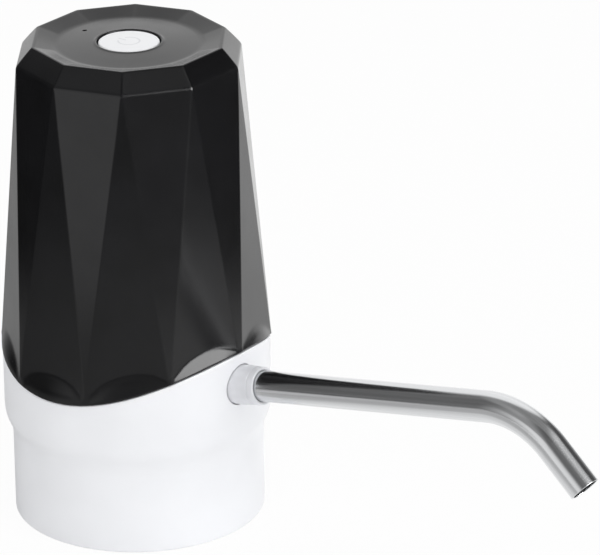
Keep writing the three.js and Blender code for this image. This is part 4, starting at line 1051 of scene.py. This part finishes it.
def tube_tree():
    """A round tube along the edges of the mesh, with a map that runs along it and round it, in metres."""
    tree, given = new_tree("tube_along_path", ("Radius", "Float"), ("Sides", "Int"), ("Closed Ends", "Bool"))
    route = add(tree, "GeometryNodeMeshToCurve", links={"Mesh": given["Geometry"]}).outputs["Curve"]
    section = add(tree, "GeometryNodeCurvePrimitiveCircle", links={
        "Resolution": given["Sides"], "Radius": given["Radius"]}).outputs["Curve"]
    place = add(tree, "GeometryNodeSplineParameter").outputs["Length"]
    marked = []
    for name, curve in (("along", route), ("round", section)):
        marked.append(add(tree, "GeometryNodeStoreNamedAttribute", {"domain": "POINT"}, {
            "Geometry": curve, "Name": name, "Value": place}).outputs["Geometry"])
    tube = add(tree, "GeometryNodeCurveToMesh", links={
        "Curve": marked[0], "Profile Curve": marked[1], "Fill Caps": given["Closed Ends"]}).outputs["Mesh"]
    along = add(tree, "GeometryNodeInputNamedAttribute", links={"Name": "along"}).outputs["Attribute"]
    turn = add(tree, "GeometryNodeInputNamedAttribute", links={"Name": "round"}).outputs["Attribute"]
    # The last face round the tube ends at the start of the circle, so there the map goes on by a whole turn
    middle = add(tree, "GeometryNodeFieldOnDomain", {"domain": "FACE"}, {"Value": turn}).outputs["Value"]
    first = add(tree, "ShaderNodeMath", {"operation": "COMPARE"}, {0: turn, 1: 0.0, 2: 1e-7}).outputs[0]
    last = add(tree, "ShaderNodeMath", {"operation": "GREATER_THAN"}, {
        0: middle, 1: given["Radius"]}).outputs[0]
    wraps = add(tree, "ShaderNodeMath", {"operation": "MULTIPLY"}, {0: first, 1: last}).outputs[0]
    girth = add(tree, "ShaderNodeMath", {"operation": "MULTIPLY"}, {0: given["Radius"], 1: TURN}).outputs[0]
    across = add(tree, "ShaderNodeMath", {"operation": "MULTIPLY_ADD"}, {
        0: wraps, 1: girth, 2: turn}).outputs[0]
    spot = add(tree, "ShaderNodeCombineXYZ", links={"X": along, "Y": across}).outputs[0]
    mapped = add(tree, "GeometryNodeStoreNamedAttribute", {"data_type": "FLOAT2", "domain": "CORNER"}, {
        "Geometry": tube, "Name": TUBE_MAP, "Value": spot}).outputs["Geometry"]
    for name in ("along", "round"):
        mapped = add(tree, "GeometryNodeRemoveAttribute", links={"Geometry": mapped, "Name": name}).outputs[0]
    return end_tree(tree, mapped, given)


def grown(name, tree, points, edges, slot, values, body="base"):
    """A piece that a tree grows from points and edges, with values for the tree's named inputs."""
    mesh = bpy.data.meshes.new(name)
    mesh.from_pydata([tuple(Vector(p) * MM) for p in points], edges, [])
    piece = bpy.data.objects.new(name, mesh)
    bpy.context.scene.collection.objects.link(piece)
    change = piece.modifiers.new("grow", "NODES")
    change.node_group = tree
    values = {**values, "Finish": FINISHES[slot]}
    for item in tree.interface.items_tree:
        if item.in_out == "INPUT" and item.name in values:
            change[item.identifier] = values[item.name]
    settle(piece)
    piece["finish_slot"] = slot
    piece["rides_on"] = body
    return piece


def make_screws(tree):
    for name, node, sizes, places, seat, head_down in SCREWS:
        values = {key: value * MM for key, value in sizes.items()}
        values["Turn"] = (math.pi, 0.0, 0.0) if head_down else (0.0, 0.0, 0.0)
        points = [(x, y, seat) for x, y in places]
        piece = tidy(grown(name, tree, points, [], "plated_steel", values), 35)
        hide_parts(*[f"{node}_{k + 1}" for k in range(len(places))])


def chain(count, start=0):
    """Edges that join so many points in a row."""
    return [(start + k, start + k + 1) for k in range(count - 1)]


def smooth_route(points, steps=8):
    """Points along a smooth line through all the given ones."""
    ends = [2 * Vector(points[0]) - Vector(points[1]), 2 * Vector(points[-1]) - Vector(points[-2])]
    line = [ends[0]] + [Vector(p) for p in points] + [ends[1]]
    route = []
    for a, b, c, d in zip(line, line[1:], line[2:], line[3:]):
        for k in range(steps):
            t = k / steps
            cubic = (3 * b - a - 3 * c + d) * t ** 3 + (2 * a - 5 * b + 4 * c - d) * t ** 2 + (c - a) * t
            route.append(b + cubic / 2)
    return route + [Vector(points[-1])]


def make_leads(tree):
    for node, (slot, points) in LEADS.items():
        route = smooth_route(points)
        both = [p + Vector((0, side * LEAD_APART / 2, 0)) for side in (-1, 1) for p in route]
        edges = chain(len(route)) + chain(len(route), len(route))
        piece = grown(f"{node}_pair", tree, both, edges, slot, {
            "Radius": LEAD_RADIUS * MM, "Sides": 14, "Closed Ends": True})
        tidy(piece)
        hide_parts(node)


make_upper_housing()
make_lower_housing()
make_button()
make_collar()
make_grip()
make_nozzle()
make_socket()
make_screws(screw_tree())
tubes = tube_tree()
make_spout(tubes)
make_leads(tubes)

# The solids that stay get the finish of their slot
slot_of = {entry["node"]: entry["material_slot"] for entry in frame["record"]["subparts"]}
for name, node in frame["nodes"].items():
    finish = "ground_steel" if name in ("motor_shaft", "idler_pin") else slot_of[name]
    for holder in node.material_slots:
        holder.link = "OBJECT"
        holder.material = FINISHES[finish]

for piece in bpy.data.objects:
    if "rides_on" in piece:
        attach(piece, piece["rides_on"])


def all_round(tree, parts, stops):
    """A value by compass direction, from (degrees, value) stops that go from -180 to 180."""
    angle = add(tree, "ShaderNodeMath", {"operation": "ARCTAN2"}, {0: parts["Y"], 1: parts["X"]})
    share = add(tree, "ShaderNodeMath", {"operation": "MULTIPLY_ADD"}, {
        0: angle.outputs[0], 1: 1 / TURN, 2: 0.5})
    ramp = add(tree, "ShaderNodeValToRGB", links={"Fac": share.outputs[0]})
    marks = ramp.color_ramp.elements
    while len(marks) < len(stops):
        marks.new(0.5)
    for mark, (degrees, value) in zip(marks, stops):
        mark.position = degrees / 360 + 0.5
        mark.color = (value / BRIGHTEST,) * 3 + (1.0,)
    level = add(tree, "ShaderNodeMath", {"operation": "MULTIPLY"}, {0: ramp.outputs["Color"], 1: BRIGHTEST})
    return level.outputs[0]


def mirrored_ray(tree):
    """Whether a ray is mirrored or passes through something clear, and whether it is the camera's."""
    path = add(tree, "ShaderNodeLightPath").outputs
    mirror = add(tree, "ShaderNodeMath", {"operation": "MAXIMUM"}, {
        0: path["Is Glossy Ray"], 1: path["Is Transmission Ray"]})
    return mirror.outputs[0], path["Is Camera Ray"]


def make_floor():
    """White plain floor that keeps the object's shadow. Reflections see a pool of light round the object."""
    mesh = bpy.data.meshes.new("floor")
    corners = [(x * FLOOR_HALF, y * FLOOR_HALF, 0) for x, y in ((-1, -1), (1, -1), (1, 1), (-1, 1))]
    mesh.from_pydata(corners, [], [(0, 1, 2, 3)])
    made = bpy.data.materials.new("white_floor")
    made.use_nodes = True
    tree = made.node_tree
    tree.nodes.clear()
    mirror, camera = mirrored_ray(tree)
    place = add(tree, "ShaderNodeTexCoord").outputs["Object"]
    parts = add(tree, "ShaderNodeSeparateXYZ", links={"Vector": place}).outputs
    near = all_round(tree, parts, POOL_NEAR)
    far = all_round(tree, parts, FLOOR_FAR)
    reach = add(tree, "ShaderNodeVectorMath", {"operation": "DISTANCE"}, {
        0: place, 1: Vector(POOL_MIDDLE) * MM}).outputs["Value"]
    beyond = add(tree, "ShaderNodeMapRange", {"interpolation_type": "SMOOTHSTEP"}, {
        "Value": reach, "From Min": POOL_INNER * MM, "From Max": POOL_OUTER * MM})
    shown = add(tree, "ShaderNodeMix", {"data_type": "FLOAT"}, {0: beyond.outputs["Result"], 2: near, 3: far})
    strength = add(tree, "ShaderNodeMix", {"data_type": "FLOAT"}, {0: mirror, 2: 1.0, 3: shown.outputs[0]})
    seen = add(tree, "ShaderNodeMath", {"operation": "MULTIPLY"}, {0: camera, 1: FLOOR_OWN_WHITE})
    share = add(tree, "ShaderNodeMath", {"operation": "MAXIMUM"}, {0: seen.outputs[0], 1: mirror})
    plain = add(tree, "ShaderNodeBsdfDiffuse", links={"Color": linear("f4f4f4")})
    white = add(tree, "ShaderNodeEmission", links={"Color": (1, 1, 1, 1), "Strength": strength.outputs[0]})
    mixed = add(tree, "ShaderNodeMixShader", links={
        0: share.outputs[0], 1: plain.outputs["BSDF"], 2: white.outputs["Emission"]})
    add(tree, "ShaderNodeOutputMaterial", links={"Surface": mixed.outputs["Shader"]})
    mesh.materials.append(made)
    floor = bpy.data.objects.new("floor", mesh)
    bpy.context.scene.collection.objects.link(floor)


def towards(azimuth, elevation):
    """Unit vector to a compass direction and height, in degrees."""
    turn, rise = math.radians(azimuth), math.radians(elevation)
    return Vector((math.cos(rise) * math.cos(turn), math.cos(rise) * math.sin(turn), math.sin(rise)))


def make_world():
    """White to the camera. Reflections see levels that change by direction and height, and soft panels."""
    world = bpy.data.worlds.new("studio")
    bpy.context.scene.world = world
    world.use_nodes = True
    tree = world.node_tree
    tree.nodes.clear()
    mirror, camera = mirrored_ray(tree)
    direction = add(tree, "ShaderNodeTexCoord").outputs["Generated"]
    parts = add(tree, "ShaderNodeSeparateXYZ", links={"Vector": direction}).outputs
    total = all_round(tree, parts, HORIZON)
    for (start, full), level in (
            (CEILING_RISE, all_round(tree, parts, CEILING)),
            (OVERHEAD_RISE, all_round(tree, parts, OVERHEAD)), (ZENITH_RISE, ZENITH)):
        rise = add(tree, "ShaderNodeMapRange", {"interpolation_type": "SMOOTHSTEP"}, {
            "Value": parts["Z"], "From Min": start, "From Max": full})
        total = add(tree, "ShaderNodeMix", {"data_type": "FLOAT"}, {
            0: rise.outputs["Result"], 2: total, 3: level}).outputs[0]
    for azimuth, elevation, inner, outer, strength in PANELS:
        aligned = add(tree, "ShaderNodeVectorMath", {"operation": "DOT_PRODUCT"}, {
            0: direction, 1: towards(azimuth, elevation)})
        panel = add(tree, "ShaderNodeMapRange", {"interpolation_type": "SMOOTHSTEP"}, {
            "Value": aligned.outputs["Value"], "From Min": math.cos(math.radians(outer)),
            "From Max": math.cos(math.radians(inner)), "To Max": strength})
        total = add(tree, "ShaderNodeMath", {"operation": "MAXIMUM"}, {
            0: total, 1: panel.outputs["Result"]}).outputs[0]
    soft = add(tree, "ShaderNodeMix", {"data_type": "FLOAT"}, {0: mirror, 2: AMBIENT, 3: total})
    strength = add(tree, "ShaderNodeMix", {"data_type": "FLOAT"}, {0: camera, 2: soft.outputs[0], 3: 1.0})
    back = add(tree, "ShaderNodeBackground", links={"Color": (1, 1, 1, 1), "Strength": strength.outputs[0]})
    add(tree, "ShaderNodeOutputWorld", links={"Surface": back.outputs["Background"]})


def make_lamp(name, azimuth, elevation, distance, width, tall, power):
    """A soft lamp that faces the object and isn't mirrored in it."""
    lamp = bpy.data.lights.new(name, "AREA")
    lamp.shape = "RECTANGLE"
    lamp.size, lamp.size_y, lamp.energy = width, tall, power
    made = bpy.data.objects.new(name, lamp)
    bpy.context.scene.collection.objects.link(made)
    away = towards(azimuth, elevation)
    made.location = Vector(LAMP_AIM) + distance * away
    made.rotation_euler = (-away).to_track_quat("-Z", "Y").to_euler()
    made.visible_glossy = False


def make_camera():
    """The camera of the fit: it looks at the object's middle, then turns a little about its own axes."""
    data = bpy.data.cameras.new("camera")
    data.sensor_fit = "HORIZONTAL"
    data.sensor_width = SENSOR
    data.lens = FOCAL_PIXELS * SENSOR / PICTURE_WIDTH
    data.clip_end = 100
    flat = CAMERA_DISTANCE * math.cos(CAMERA_ELEVATION)
    away = Vector((flat * math.cos(CAMERA_AZIMUTH), flat * math.sin(CAMERA_AZIMUTH),
                   CAMERA_DISTANCE * math.sin(CAMERA_ELEVATION)))
    forward = -away.normalized()
    right = forward.cross(Vector((0, 0, 1))).normalized()
    up = right.cross(forward)
    turn = (Matrix.Rotation(CAMERA_ROLL, 3, "Z") @ Matrix.Rotation(CAMERA_PITCH, 3, "X")
            @ Matrix.Rotation(CAMERA_YAW, 3, "Y"))
    right, up, forward = turn @ Matrix((right, up, forward))
    place = Matrix((right, up, -forward)).transposed().to_4x4()
    place.translation = (away + Vector((0, 0, TOP / 2))) * MM
    made = bpy.data.objects.new("camera", data)
    bpy.context.scene.collection.objects.link(made)
    made.matrix_world = place
    bpy.context.scene.camera = made


make_floor()
make_world()
for lamp in LAMPS:
    make_lamp(*lamp)
make_camera()
bpy.context.scene.view_settings.view_transform = "Standard"

bpy.context.view_layer.update()
